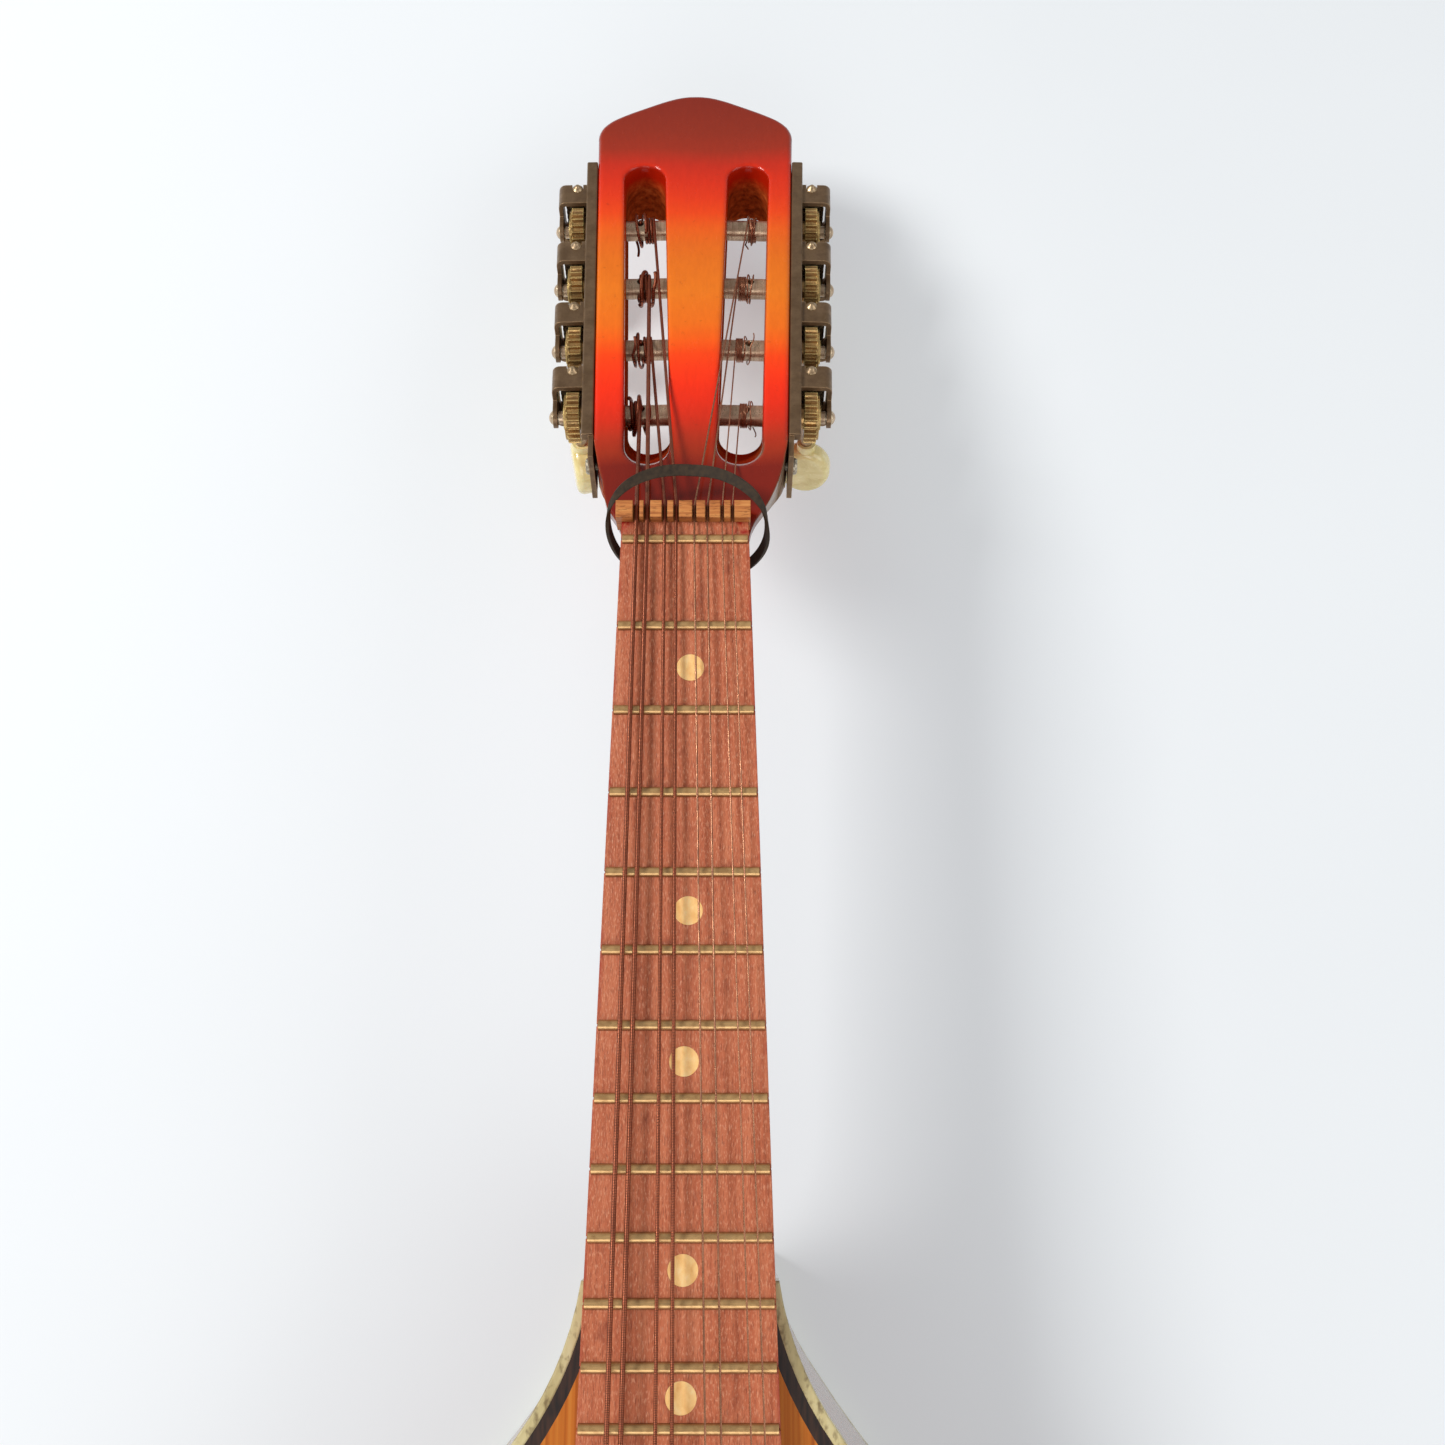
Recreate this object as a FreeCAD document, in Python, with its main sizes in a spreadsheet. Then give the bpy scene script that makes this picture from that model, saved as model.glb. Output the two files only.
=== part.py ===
import FreeCAD
import Part
import Sketcher
import math
import os
from FreeCAD import Vector, Rotation, Placement

# Eight-string, flat-backed, slotted-headstock fretted instrument.
# Frame: X to the right seen from the front, +Y along the neck to the
# headstock, +Z out of the soundboard.  The origin is on the flat back,
# right below the bridge.  Millimetres.

doc = FreeCAD.newDocument("Instrument")
sheet = doc.addObject("Spreadsheet::Sheet", "Dims")

DIMS = [
    # overall
    ("scale_length", 350.0), ("board_thick", 4.5), ("top_z", 71.5),
    ("board_top_z", "=top_z + board_thick"), ("neck_joint_y", 200.0),
    ("course_shift", 3.0),
    # body shell
    ("body_half_width", 118.0), ("tail_y", -112.0), ("plate_thick", 2.5),
    ("bind_wide", 2.0), ("bind_tall", 5.0), ("purf_wide", 2.4),
    ("purf_deep", 1.2), ("lining_wide", 5.2), ("lining_tall", 7.0),
    ("hole_radius", 24.0), ("hole_y", 76.0), ("block_half", 17.9),
    ("neck_block_deep", 40.0), ("tail_block_deep", 18.0),
    ("tail_block_half", 32.0), ("brace_wide", 6.0), ("brace_tall", 9.0),
    # fretboard
    ("board_wide_zero", 27.62), ("board_wide_twelve", 37.42),
    ("board_end_y", 112.0), ("board_nut_y", 354.07), ("fret_radius", 1.05),
    ("fret_slot", 0.5), ("fret_tang", 1.6), ("dot_radius", 2.9),
    ("dot_deep", 0.8),
    # nut
    ("nut_wide", 29.0), ("nut_thick", 3.93), ("nut_tall", 7.0),
    ("nut_x", -0.4),
    # headstock
    ("head_y", 359.0), ("head_tilt", 15.0), ("head_thick", 17.0),
    ("head_mid_x", 0.9), ("side_half", 23.69), ("side_s", 65.85),
    ("side_turn", 1.8), ("slot_end_s", 113.0), ("slot_start_s", 12.0),
    ("slot_wide", 10.35), ("slot_ramp", 18.0),
    ("edge_ease", 1.3), ("slot_ease", 1.0),
    ("slot_in_left", 7.0), ("slot_in_right", 6.05),
    # neck
    ("neck_depth_nut", 15.5), ("neck_depth_mid", 17.0),
    ("heel_depth", 66.0),
    # tuners
    ("tuner_pitch", 21.15), ("post_deep", 8.0), ("post_radius", 2.5),
    ("post_clear", 0.06), ("gear_module", 0.5), ("gear_teeth", 22.0),
    ("gear_wide", 3.0), ("gear_out", 5.2), ("worm_pitch_radius", 3.0),
    ("worm_outer_radius", 3.45), ("worm_root_radius", 2.40),
    ("worm_long", 9.6), ("journal_radius", 1.35), ("shaft_radius", 1.5),
    ("journal_clear", 0.05), ("plate_gauge", 1.2), ("lip_wide", 2.8),
    ("wall_out", 9.1), ("wall_gauge", 1.0),
    ("knob_long", 15.0), ("knob_wide", 13.0), ("knob_thick", 5.5),
    ("knob_end_deep", 43.0), ("bore_deep", 9.0), ("collar_radius", 2.3),
    # bridge
    ("bridge_long", 104.0), ("bridge_wide", 9.0), ("bridge_tall", 7.0),
    ("saddle_long", 58.0), ("saddle_wide", 3.0), ("saddle_tall", 5.4),
    ("string_bridge_z", 81.6), ("string_zero_z", 77.06),
    # tailpiece
    ("tail_wide", 34.0), ("tail_gauge", 1.2), ("tail_drop", 36.0),
    ("tail_reach", 40.0), ("hook_y", -80.0), ("pilot_radius", 1.5),
    # strings
    ("radius_g", 0.48), ("radius_d", 0.36), ("radius_a", 0.20),
    ("radius_e", 0.16), ("wrap_clear", 0.12),
]
for row, (alias, value) in enumerate(DIMS, 1):
    sheet.set("A%d" % row, alias)
    sheet.set("B%d" % row, str(value))
    sheet.setAlias("B%d" % row, alias)
doc.recompute()

# Strings from left to right: course, x at the zero fret, x at the bridge,
# headstock side, post number from the nut, x of the wrap on that post.
STRINGS = [
    ("g", -10.5, -15.3, "l", 0, -11.3),
    ("g", -8.2, -12.4, "l", 2, -10.2),
    ("d", -4.4, -3.8, "l", 1, -9.3),
    ("d", -1.9, -0.3, "l", 3, -9.6),
    ("a", 2.0, 7.8, "r", 3, 14.6),
    ("a", 4.8, 10.8, "r", 2, 12.0),
    ("e", 8.0, 18.4, "r", 1, 11.4),
    ("e", 10.2, 21.2, "r", 0, 12.2),
]
# tailpiece screws: x from the course middle, distance below the top
TAIL_SCREWS = ((-10, 12), (10, 12), (0, 27))
NEAR = 1e-6   # tolerance for picking edges and faces


# ---------------------------------------------------------------- helpers
def dim(alias):
    return float(sheet.get(alias))


pieces = []


def piece(obj, label):
    """label an object and list it for export"""
    obj.Label = label
    pieces.append(obj)
    return obj


def bind(obj, **expressions):
    """bind properties; a double underscore stands for a dot"""
    for prop, expression in expressions.items():
        obj.setExpression(prop.replace("__", "."), expression)


def bind_base(obj, x, y, z):
    bind(obj, Placement__Base__x=x, Placement__Base__y=y,
         Placement__Base__z=z)


def box(name, length, width, height, x, y, z):
    obj = doc.addObject("Part::Box", name)
    bind(obj, Length=length, Width=width, Height=height)
    bind_base(obj, x, y, z)
    return obj


def cylinder(name, radius, height, x, y, z, turn=None):
    obj = doc.addObject("Part::Cylinder", name)
    bind(obj, Radius=radius, Height=height)
    if turn is not None:
        obj.Placement = Placement(Vector(0, 0, 0), turn)
    bind_base(obj, x, y, z)
    return obj


def cut(name, base, tool):
    obj = doc.addObject("Part::Cut", name)
    obj.Base = base
    obj.Tool = tool
    return obj


def common(name, base, tool):
    obj = doc.addObject("Part::Common", name)
    obj.Base = base
    obj.Tool = tool
    return obj


def fuse(name, objs):
    obj = doc.addObject("Part::MultiFuse", name)
    obj.Shapes = objs
    return obj


def group(name, objs):
    obj = doc.addObject("Part::Compound", name)
    obj.Links = objs
    return obj


def fillet(name, base, edges):
    """edges: list of (edge number, start radius, end radius)"""
    obj = doc.addObject("Part::Fillet", name)
    obj.Base = base
    obj.Edges = edges
    return obj


def feature(name, shape, placement=None):
    obj = doc.addObject("Part::Feature", name)
    obj.Shape = shape
    if placement is not None:
        obj.Placement = placement
    return obj


def extrusion(name, base, direction, length):
    obj = doc.addObject("Part::Extrusion", name)
    obj.Base = base
    obj.DirMode = "Custom"
    obj.Dir = direction
    obj.Solid = True
    obj.setExpression("LengthFwd", length)
    return obj


def slab(name, plan, z, height):
    obj = extrusion(name, plan, Vector(0, 0, 1), height)
    obj.setExpression("Placement.Base.z", z)
    return obj


def ring(name, outer, inner, z, height):
    return cut(name, slab(name + "Outer", outer, z, height),
               slab(name + "Inner", inner, z, height))


def add_line(sketch, start, end):
    sketch.addGeometry(Part.LineSegment(start, end), False)


# ---------------------------------------------------------------- outline
# Right half of the body outline (x, y), from the neck joint to the tail:
# straight joint, concave shoulders that flare away from the neck, widest
# below the bridge, round tail.
HALF_OUTLINE = [
    (18.9, 200), (20.6, 191.5), (22.6, 186.2), (25.3, 181),
    (30.1, 173.0), (45.5, 153.0), (62, 134.5), (80, 112.0),
    (95.5, 86), (107, 58), (114.5, 28), (118, -2), (115.5, -34),
    (106, -63), (88.5, -86.5), (64, -102), (34, -109.7), (0, -112)]
SHOULDER_Y = 170       # above this the width doesn't follow the body's
OUTLINE_SAMPLES = 400
ARCS_PER_SIDE = 14

width_scale = dim("body_half_width") / max(x for x, y in HALF_OUTLINE)
tail_scale = dim("tail_y") / HALF_OUTLINE[-1][1]
outline_points = [Vector(x * (width_scale if y < SHOULDER_Y else 1.0),
                         y * (tail_scale if y < 0 else 1.0), 0)
                  for x, y in HALF_OUTLINE]
outline_curve = Part.BSplineCurve()
outline_curve.interpolate(
    outline_points + [Vector(-p.x, p.y, 0) for p in outline_points[-2::-1]])
tail_param = outline_curve.parameter(outline_points[-1])


def offset_points(inset):
    """dense points of the right half outline moved inwards by inset"""
    first = outline_curve.FirstParameter
    dense = []
    for k in range(OUTLINE_SAMPLES + 1):
        param = first + (tail_param - first) * k / OUTLINE_SAMPLES
        point = outline_curve.value(param)
        tangent = outline_curve.tangent(param)[0]
        dense.append(Vector(point.x + tangent.y * inset,
                            point.y - tangent.x * inset, 0))
    dense[-1].x = 0.0
    if inset > 0:
        # trim at the straight neck end, which is moved in as well
        end_y = outline_points[0].y - inset
        k = 0
        while dense[k + 1].y > end_y:
            k += 1
        above, below = dense[k], dense[k + 1]
        share = (above.y - end_y) / (above.y - below.y)
        dense = [above + (below - above) * share] + dense[k + 1:]
    return dense


def even_points(dense, count):
    """count + 1 points spread evenly along a polyline"""
    run = [0.0]
    for start, end in zip(dense, dense[1:]):
        run.append(run[-1] + (end - start).Length)
    line = []
    j = 0
    for k in range(count + 1):
        want = run[-1] * k / count
        while j < len(run) - 2 and run[j + 1] < want:
            j += 1
        share = (want - run[j]) / (run[j + 1] - run[j])
        line.append(dense[j] + (dense[j + 1] - dense[j]) * share)
    line[-1] = dense[-1]
    return line


def body_plan(name, inset):
    """the body outline moved inwards: a closed sketch of short arcs"""
    line = even_points(offset_points(inset), 2 * ARCS_PER_SIDE)
    sketch = doc.addObject("Sketcher::SketchObject", name)
    for sign in (1, -1):
        side = [Vector(sign * p.x, p.y, 0) for p in line]
        for k in range(0, 2 * ARCS_PER_SIDE, 2):
            sketch.addGeometry(Part.Arc(side[k], side[k + 1], side[k + 2]),
                               False)
    add_line(sketch, line[0], Vector(-line[0].x, line[0].y, 0))
    return sketch


outline = body_plan("BodyOutline", 0.0)
in_bind = body_plan("InBinding", dim("bind_wide"))
in_purf = body_plan("InPurfling", dim("bind_wide") + dim("purf_wide"))
in_line = body_plan("InLining", dim("bind_wide") + dim("lining_wide"))
doc.recompute()

# ------------------------------------------------- plates and bindings
joint_gap = box("JointGap", "2*Dims.block_half", "12", "Dims.top_z + 2",
                "-Dims.block_half", "Dims.neck_joint_y - 8", "-1")

piece(slab("BackPlate", in_bind, "0", "Dims.plate_thick"), "back_plate")

top_raw = slab("TopRaw", in_bind, "Dims.top_z - Dims.plate_thick",
               "Dims.plate_thick")
PURF_Z = "Dims.top_z - Dims.purf_deep"
piece(ring("PurflingRing", in_bind, in_purf, PURF_Z, "Dims.purf_deep"),
      "top_purfling")
purf_tool = ring("PurflingTool", in_bind, in_purf, PURF_Z,
                 "Dims.purf_deep + 1")
sound_hole = cylinder("SoundHole", "Dims.hole_radius",
                      "Dims.plate_thick + 4", "0", "Dims.hole_y",
                      "Dims.top_z - Dims.plate_thick - 2")
piece(cut("Soundboard", cut("TopHoled", top_raw, sound_hole), purf_tool),
      "soundboard")


def binding(name, z, label):
    strip = ring(name + "Ring", outline, in_bind, z, "Dims.bind_tall")
    piece(cut(name, strip, joint_gap), label)


binding("TopBinding", "Dims.top_z - Dims.bind_tall", "top_binding")
binding("BackBinding", "0", "back_binding")

# ------------------------------------------------------ ribs and blocks
tail_pilots = group("TailPilots", [
    cylinder("TailPilot%d" % i, "Dims.pilot_radius", "12.5",
             "Dims.course_shift + %d" % shift, "Dims.tail_y + 11",
             "Dims.top_z - %d" % drop, Rotation(Vector(1, 0, 0), 90))
    for i, (shift, drop) in enumerate(TAIL_SCREWS)])

rib_ring = ring("RibRing", outline, in_bind, "Dims.bind_tall",
                "Dims.top_z - 2*Dims.bind_tall")
rib_open = cut("RibOpen", rib_ring, joint_gap)
for side_name, x in (("Right", "0"), ("Left", "-140")):
    half_space = box(side_name + "Half", "140", "400", "100", x, "-160",
                     "-5")
    rib = common("Rib" + side_name, rib_open, half_space)
    piece(cut("Rib%sDrilled" % side_name, rib, tail_pilots),
          "rib_" + side_name.lower())

INSIDE_TALL = "Dims.top_z - 2*Dims.plate_thick"
BLOCK_Y = "Dims.neck_joint_y - Dims.bind_wide - Dims.neck_block_deep"
piece(fuse("NeckBlock", [
    box("NeckBlockCore", "2*Dims.block_half", "Dims.neck_block_deep",
        INSIDE_TALL, "-Dims.block_half", BLOCK_Y, "Dims.plate_thick"),
    box("NeckBlockCap", "2*Dims.block_half", "Dims.bind_wide", "Dims.top_z",
        "-Dims.block_half", "Dims.neck_joint_y - Dims.bind_wide", "0")]),
    "neck_block")

tail_room = box("TailRoom", "2*Dims.tail_block_half",
                "Dims.tail_block_deep + 12", "100",
                "-Dims.tail_block_half", "Dims.tail_y - 10", "-5")
tail_raw = common("TailRaw", slab("TailBlockSlab", in_bind,
                                  "Dims.plate_thick", INSIDE_TALL),
                  tail_room)
piece(cut("TailBlock", tail_raw, tail_pilots), "tail_block")

# --------------------------------------------------- linings and braces
# strips glued inside the ribs, open where the blocks stand
neck_room = box("NeckRoom", "2*Dims.block_half", "80", "100",
                "-Dims.block_half", BLOCK_Y, "-5")
block_room = fuse("BlockRoom", [neck_room, tail_room])
lining_pair = group("LiningPair", [
    ring("LiningTop", in_bind, in_line,
         "Dims.top_z - Dims.plate_thick - Dims.lining_tall",
         "Dims.lining_tall"),
    ring("LiningBack", in_bind, in_line, "Dims.plate_thick",
         "Dims.lining_tall")])
piece(cut("Linings", lining_pair, block_room), "linings")

TOP_BRACE_Z = "Dims.top_z - Dims.plate_thick - Dims.brace_tall"
BACK_BRACE_Z = "Dims.plate_thick"
# y of each brace's edge nearer the tail, and its underside
BRACES = [("-62", TOP_BRACE_Z), ("34", TOP_BRACE_Z), ("116", TOP_BRACE_Z),
          ("-70", BACK_BRACE_Z), ("6", BACK_BRACE_Z), ("82", BACK_BRACE_Z)]
brace_bars = group("BraceBars", [
    box("BraceBar%d" % i, "260", "Dims.brace_wide", "Dims.brace_tall",
        "-130", y, z) for i, (y, z) in enumerate(BRACES)])
piece(common("Braces", brace_bars,
             slab("BraceRoom", in_line, "0", "Dims.top_z")), "braces")

# -------------------------------------------------------------- fretboard
FRET_COUNT = 20          # the zero fret included
FRET_END_GAP = 0.35      # from a fret's end to the board's edge
# the dots stand just below these frets: fret number, x
DOTS = ((2, 1.3), (5, 1.2), (7, 0.55), (10, 0.6), (12, 0.4))
BOARD_SLOPE = ("((Dims.board_wide_twelve - Dims.board_wide_zero)"
               "/(Dims.scale_length/2))")


def width_at(y):
    """expression for the board's width at y, itself an expression"""
    return ("(Dims.board_wide_zero + %s*(Dims.scale_length - (%s)))"
            % (BOARD_SLOPE, y))


def fret_y(number):
    return "(Dims.scale_length*2^(-%d/12))" % number


def trapezoid_prism(name, x_mid, y_low, wide_low, y_high, wide_high,
                    height):
    """body padded from the top plane; its plan is symmetric about x_mid"""
    body = doc.addObject("PartDesign::Body", name + "Body")
    sketch = body.newObject("Sketcher::SketchObject", name + "Plan")
    plane = [o for o in body.Origin.OriginFeatures
             if o.Role == "XY_Plane"][0]
    sketch.AttachmentSupport = [(plane, "")]
    sketch.MapMode = "FlatFace"
    sketch.setExpression("AttachmentOffset.Base.z", "Dims.top_z")
    corners = [Vector(-20, 0, 0), Vector(20, 0, 0), Vector(15, 300, 0),
               Vector(-15, 300, 0)]
    for i in range(4):
        add_line(sketch, corners[i], corners[(i + 1) % 4])
    for i in range(4):
        sketch.addConstraint(Sketcher.Constraint("Coincident", i, 2,
                                                 (i + 1) % 4, 1))
    # kind, line, end of the line, starting value, expression
    constraints = [
        ("DistanceX", 0, 1, -20, "%s - (%s)/2" % (x_mid, wide_low)),
        ("DistanceX", 0, 2, 20, "%s + (%s)/2" % (x_mid, wide_low)),
        ("DistanceX", 2, 1, 15, "%s + (%s)/2" % (x_mid, wide_high)),
        ("DistanceX", 2, 2, -15, "%s - (%s)/2" % (x_mid, wide_high)),
        ("DistanceY", 0, 1, 0.5, y_low), ("DistanceY", 0, 2, 0.5, y_low),
        ("DistanceY", 2, 1, 300, y_high), ("DistanceY", 2, 2, 300, y_high)]
    for kind, line, end, start, expression in constraints:
        index = sketch.addConstraint(
            Sketcher.Constraint(kind, -1, 1, line, end, start))
        sketch.setExpression("Constraints[%d]" % index, expression)
    pad = body.newObject("PartDesign::Pad", name + "Pad")
    pad.Profile = sketch
    pad.setExpression("Length", height)
    body.Tip = pad
    doc.recompute()
    return body


board = trapezoid_prism("Board", "0", "Dims.board_end_y",
                        width_at("Dims.board_end_y"), "Dims.board_nut_y",
                        width_at("Dims.board_nut_y"), "Dims.board_thick")
board_tools = [
    box("FretSlot%02d" % n, "60", "Dims.fret_slot", "Dims.fret_tang + 3",
        "-30", fret_y(n) + " - Dims.fret_slot/2",
        "Dims.board_top_z - Dims.fret_tang") for n in range(FRET_COUNT)]


def dot_cylinder(name, number, x, height):
    y = "(%s + %s)/2" % (fret_y(number), fret_y(number - 1))
    return cylinder("%s%02d" % (name, number), "Dims.dot_radius", height,
                    "%g" % x, y, "Dims.board_top_z - Dims.dot_deep")


board_tools += [dot_cylinder("DotPocket", n, x, "3") for n, x in DOTS]
piece(cut("Fretboard", board, group("BoardTools", board_tools)),
      "fretboard")
piece(group("FretDots", [dot_cylinder("Dot", n, x, "Dims.dot_deep")
                         for n, x in DOTS]), "fret_dots")


def fret_shape(number):
    """half-round crown on a tang, a little short of the board's edges"""
    scale, z = dim("scale_length"), dim("board_top_z")
    y = scale * 2 ** (-number / 12.0)
    slope = (dim("board_wide_twelve") - dim("board_wide_zero")) / (scale / 2)
    board_wide = dim("board_wide_zero") + slope * (scale - y)
    half = board_wide / 2 - FRET_END_GAP
    radius = dim("fret_radius")
    crown = Part.makeCylinder(radius, 2 * half, Vector(-half, y, z),
                              Vector(1, 0, 0))
    crown = crown.common(Part.makeBox(
        2 * half + 2, 4 * radius, 2 * radius,
        Vector(-half - 1, y - 2 * radius, z)))
    gauge, deep = dim("fret_slot"), dim("fret_tang")
    tang = Part.makeBox(2 * half, gauge, deep,
                        Vector(-half, y - gauge / 2, z - deep))
    return crown.fuse(tang).removeSplitter()


piece(feature("Frets", Part.makeCompound(
    [fret_shape(n) for n in range(FRET_COUNT)])), "frets")


# -------------------------------------------------------------------- nut
def string_slots(name, x_column, play, length, height, y, z):
    """one slot tool per string, as wide as the string plus play"""
    tools = []
    for i, string in enumerate(STRINGS):
        wide = 2 * dim("radius_" + string[0]) + play
        tools.append(box("%s%d" % (name, i), "%g" % wide, length, height,
                         "%g" % (string[x_column] - wide / 2), y, z))
    return tools


nut_blank = trapezoid_prism("Nut", "Dims.nut_x", "Dims.board_nut_y",
                            "Dims.nut_wide",
                            "Dims.board_nut_y + Dims.nut_thick",
                            "Dims.nut_wide", "Dims.nut_tall")
nut_slots = string_slots("NutSlot", 1, 0.5, "12", "6",
                         "Dims.board_nut_y - 4", "Dims.string_zero_z - 1.2")
piece(cut("Nut", nut_blank, group("NutTools", nut_slots)), "nut")

# ----------------------------------------------------------- neck lofts
# face plane of the headstock: x across, y away from the nut, z out
HEAD = Placement(Vector(0, dim("head_y"), dim("top_z")),
                 Rotation(Vector(1, 0, 0), -dim("head_tilt")))
HEAD_MID = dim("head_mid_x")
HEEL_LONG = 46.0
HEEL_STEPS = 12
HEEL_POWER = 2.6         # how steeply the heel's back leaves the joint
HEEL_EXTRA = 0.6         # depth left over the neck's at the heel's end
SHAFT_BREAK = 0.86       # last station before the nut, part of the scale
ROUND_BACK = 12.5        # depth of the rounded part of a section
SIDE_MIN = 3.5           # least height of a section's straight sides
# past the zero fret: distance, width, depth over the neck's at the nut
FLARE = [(2.5, 27.9, 0.1), (4.5, 29.0, 0.3), (6.2, 30.6, 0.5),
         (7.6, 32.4, 0.7), (9.0, 34.4, 0.9)]
# the round-backed neck opens out into the square-sided headstock:
# half width, distance along the face, height of the sides, depth
THROAT = [(18.2, 2.6, 5.2, 15.4), (19.0, 5.4, 6.8, 15.9),
          (19.6, 8.0, 8.6, 16.3), (20.3, 10.6, 10.4, 16.6),
          (20.9, 13.4, 12.4, 16.8), (21.6, 17.4, 14.4, 16.95),
          (22.0, 20.0, 15.4, 17.0)]
THROAT_SHIFT_LONG = 8.0  # over this length the middle moves to the head's


def neck_section(name, place, width, side, depth):
    """U section hanging from the top plane: straight sides, round back.
    width is an expression, side and depth are numbers"""
    sketch = doc.addObject("Sketcher::SketchObject", name)
    sketch.Placement = place
    # starting shape, before the constraints take over
    half0, side0, sag0 = 18.0, 4.0, 10.0
    radius0 = (half0 * half0 + sag0 * sag0) / (2 * sag0)
    centre0 = -side0 - sag0 + radius0
    angle0 = math.asin(half0 / radius0)
    add_line(sketch, Vector(half0, 0, 0), Vector(-half0, 0, 0))
    add_line(sketch, Vector(-half0, 0, 0), Vector(-half0, -side0, 0))
    sketch.addGeometry(Part.ArcOfCircle(
        Part.Circle(Vector(0, centre0, 0), Vector(0, 0, 1), radius0),
        -math.pi / 2 - angle0, -math.pi / 2 + angle0), False)
    add_line(sketch, Vector(half0, -side0, 0), Vector(half0, 0, 0))
    for constraint in (("Coincident", 0, 2, 1, 1), ("Coincident", 1, 2, 2, 1),
                       ("Coincident", 2, 2, 3, 1), ("Coincident", 3, 2, 0, 1),
                       ("Horizontal", 0), ("Vertical", 1), ("Vertical", 3),
                       ("PointOnObject", 2, 3, -2),
                       ("Symmetric", 0, 1, 0, 2, -1, 1)):
        sketch.addConstraint(Sketcher.Constraint(*constraint))
    side, depth = "%g" % side, "%g" % depth
    sag = "((%s) - (%s))" % (depth, side)
    centre_depth = ("(%s) - (((%s)/2)^2 + %s^2)/(2*%s)"
                    % (depth, width, sag, sag))
    for constraint, expression in (
            (("DistanceX", -1, 1, 0, 1, half0), "(%s)/2" % width),
            (("DistanceY", 1, 2, -1, 1, side0), side),
            (("DistanceY", 2, 3, -1, 1, -centre0), centre_depth)):
        index = sketch.addConstraint(Sketcher.Constraint(*constraint))
        sketch.setExpression("Constraints[%d]" % index, expression)
    return sketch


def upright_sections(name, rows):
    """sections square to the neck, from rows of y, width, depth"""
    return [neck_section("%s%02d" % (name, n),
                         Placement(Vector(0, y, dim("top_z")),
                                   Rotation(Vector(1, 0, 0), 90)),
                         width, max(SIDE_MIN, depth - ROUND_BACK), depth)
            for n, (y, width, depth) in enumerate(rows)]


def ruled_loft(name, sections):
    loft = doc.addObject("Part::Loft", name)
    loft.Sections = sections
    loft.Solid = True
    loft.Ruled = True
    return loft


def shaft_loft():
    """heel and neck up to the zero fret"""
    zero_y = dim("scale_length")
    depth_nut, depth_mid = dim("neck_depth_nut"), dim("neck_depth_mid")
    depth_end = depth_mid + HEEL_EXTRA
    rows = []
    for n in range(HEEL_STEPS + 1):
        part = n / HEEL_STEPS
        # the heel's back is steep at the joint, then sweeps into the neck
        rows.append((dim("neck_joint_y") + HEEL_LONG * part,
                     depth_end + (dim("heel_depth") - depth_end)
                     * (1 - part) ** HEEL_POWER))
    rows.append((zero_y * SHAFT_BREAK, (depth_mid + depth_nut) / 2))
    rows.append((zero_y, depth_nut))
    return ruled_loft("ShaftLoft", upright_sections(
        "Shaft", [(y, width_at("%g" % y), depth) for y, depth in rows]))


def flare_loft():
    """from the zero fret through the throat into the headstock"""
    zero_y, depth_nut = dim("scale_length"), dim("neck_depth_nut")
    sections = upright_sections(
        "Flare", [(zero_y, width_at("%g" % zero_y), depth_nut)]
        + [(zero_y + along, "%g" % width, depth_nut + extra)
           for along, width, extra in FLARE])
    # each section leans a little more, from upright to square to the face
    for n, (half, along, side, depth) in enumerate(THROAT, 1):
        lean = dim("head_tilt") * along / THROAT[-1][1]
        shift = HEAD_MID * min(1.0, along / THROAT_SHIFT_LONG)
        place = Placement(HEAD.multVec(Vector(shift, along, 0)),
                          Rotation(Vector(1, 0, 0), 90 - lean))
        sections.append(neck_section("Throat%02d" % n, place,
                                     "%g" % (2 * half), side, depth))
    return ruled_loft("FlareLoft", sections)


# ------------------------------------------------------ headstock blank
# right flank and end (x from the head's middle, y along the face)
FLANK = [(21.95, 19.8), (22.25, 22.0)]
HEAD_END = [(25.45, 123.6), (25.35, 126.6), (24.3, 129.3), (21.9, 131.9),
            (17.4, 134.9), (11.9, 137.9), (8.0, 139.9), (5.0, 141.1),
            (2.5, 141.7), (0, 141.85)]
HEAD_END_ARCS = 12


def head_face():
    """headstock plan on the face plane"""
    edges = []
    for sign in (1, -1):
        line = [Vector(HEAD_MID + sign * x, y, 0)
                for x, y in FLANK + HEAD_END[:1]]
        for start, end in zip(line, line[1:]):
            edges.append(Part.LineSegment(start, end).toShape())
    full = ([Vector(HEAD_MID + x, y, 0) for x, y in HEAD_END]
            + [Vector(HEAD_MID - x, y, 0) for x, y in HEAD_END[-2::-1]])
    curve = Part.BSplineCurve()
    curve.interpolate(full)
    first, last = curve.FirstParameter, curve.LastParameter
    count = 2 * HEAD_END_ARCS
    points = [curve.value(first + (last - first) * k / count)
              for k in range(count + 1)]
    points[0], points[-1] = full[0], full[-1]
    for k in range(0, count, 2):
        edges.append(Part.Arc(*points[k:k + 3]).toShape())
    half, y = FLANK[0]
    edges.append(Part.LineSegment(Vector(HEAD_MID + half, y, 0),
                                  Vector(HEAD_MID - half, y, 0)).toShape())
    face = Part.Face(Part.Wire(Part.__sortEdges__(edges)))
    if face.normalAt(0, 0).z < 0:
        face.reverse()
    return face


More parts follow.
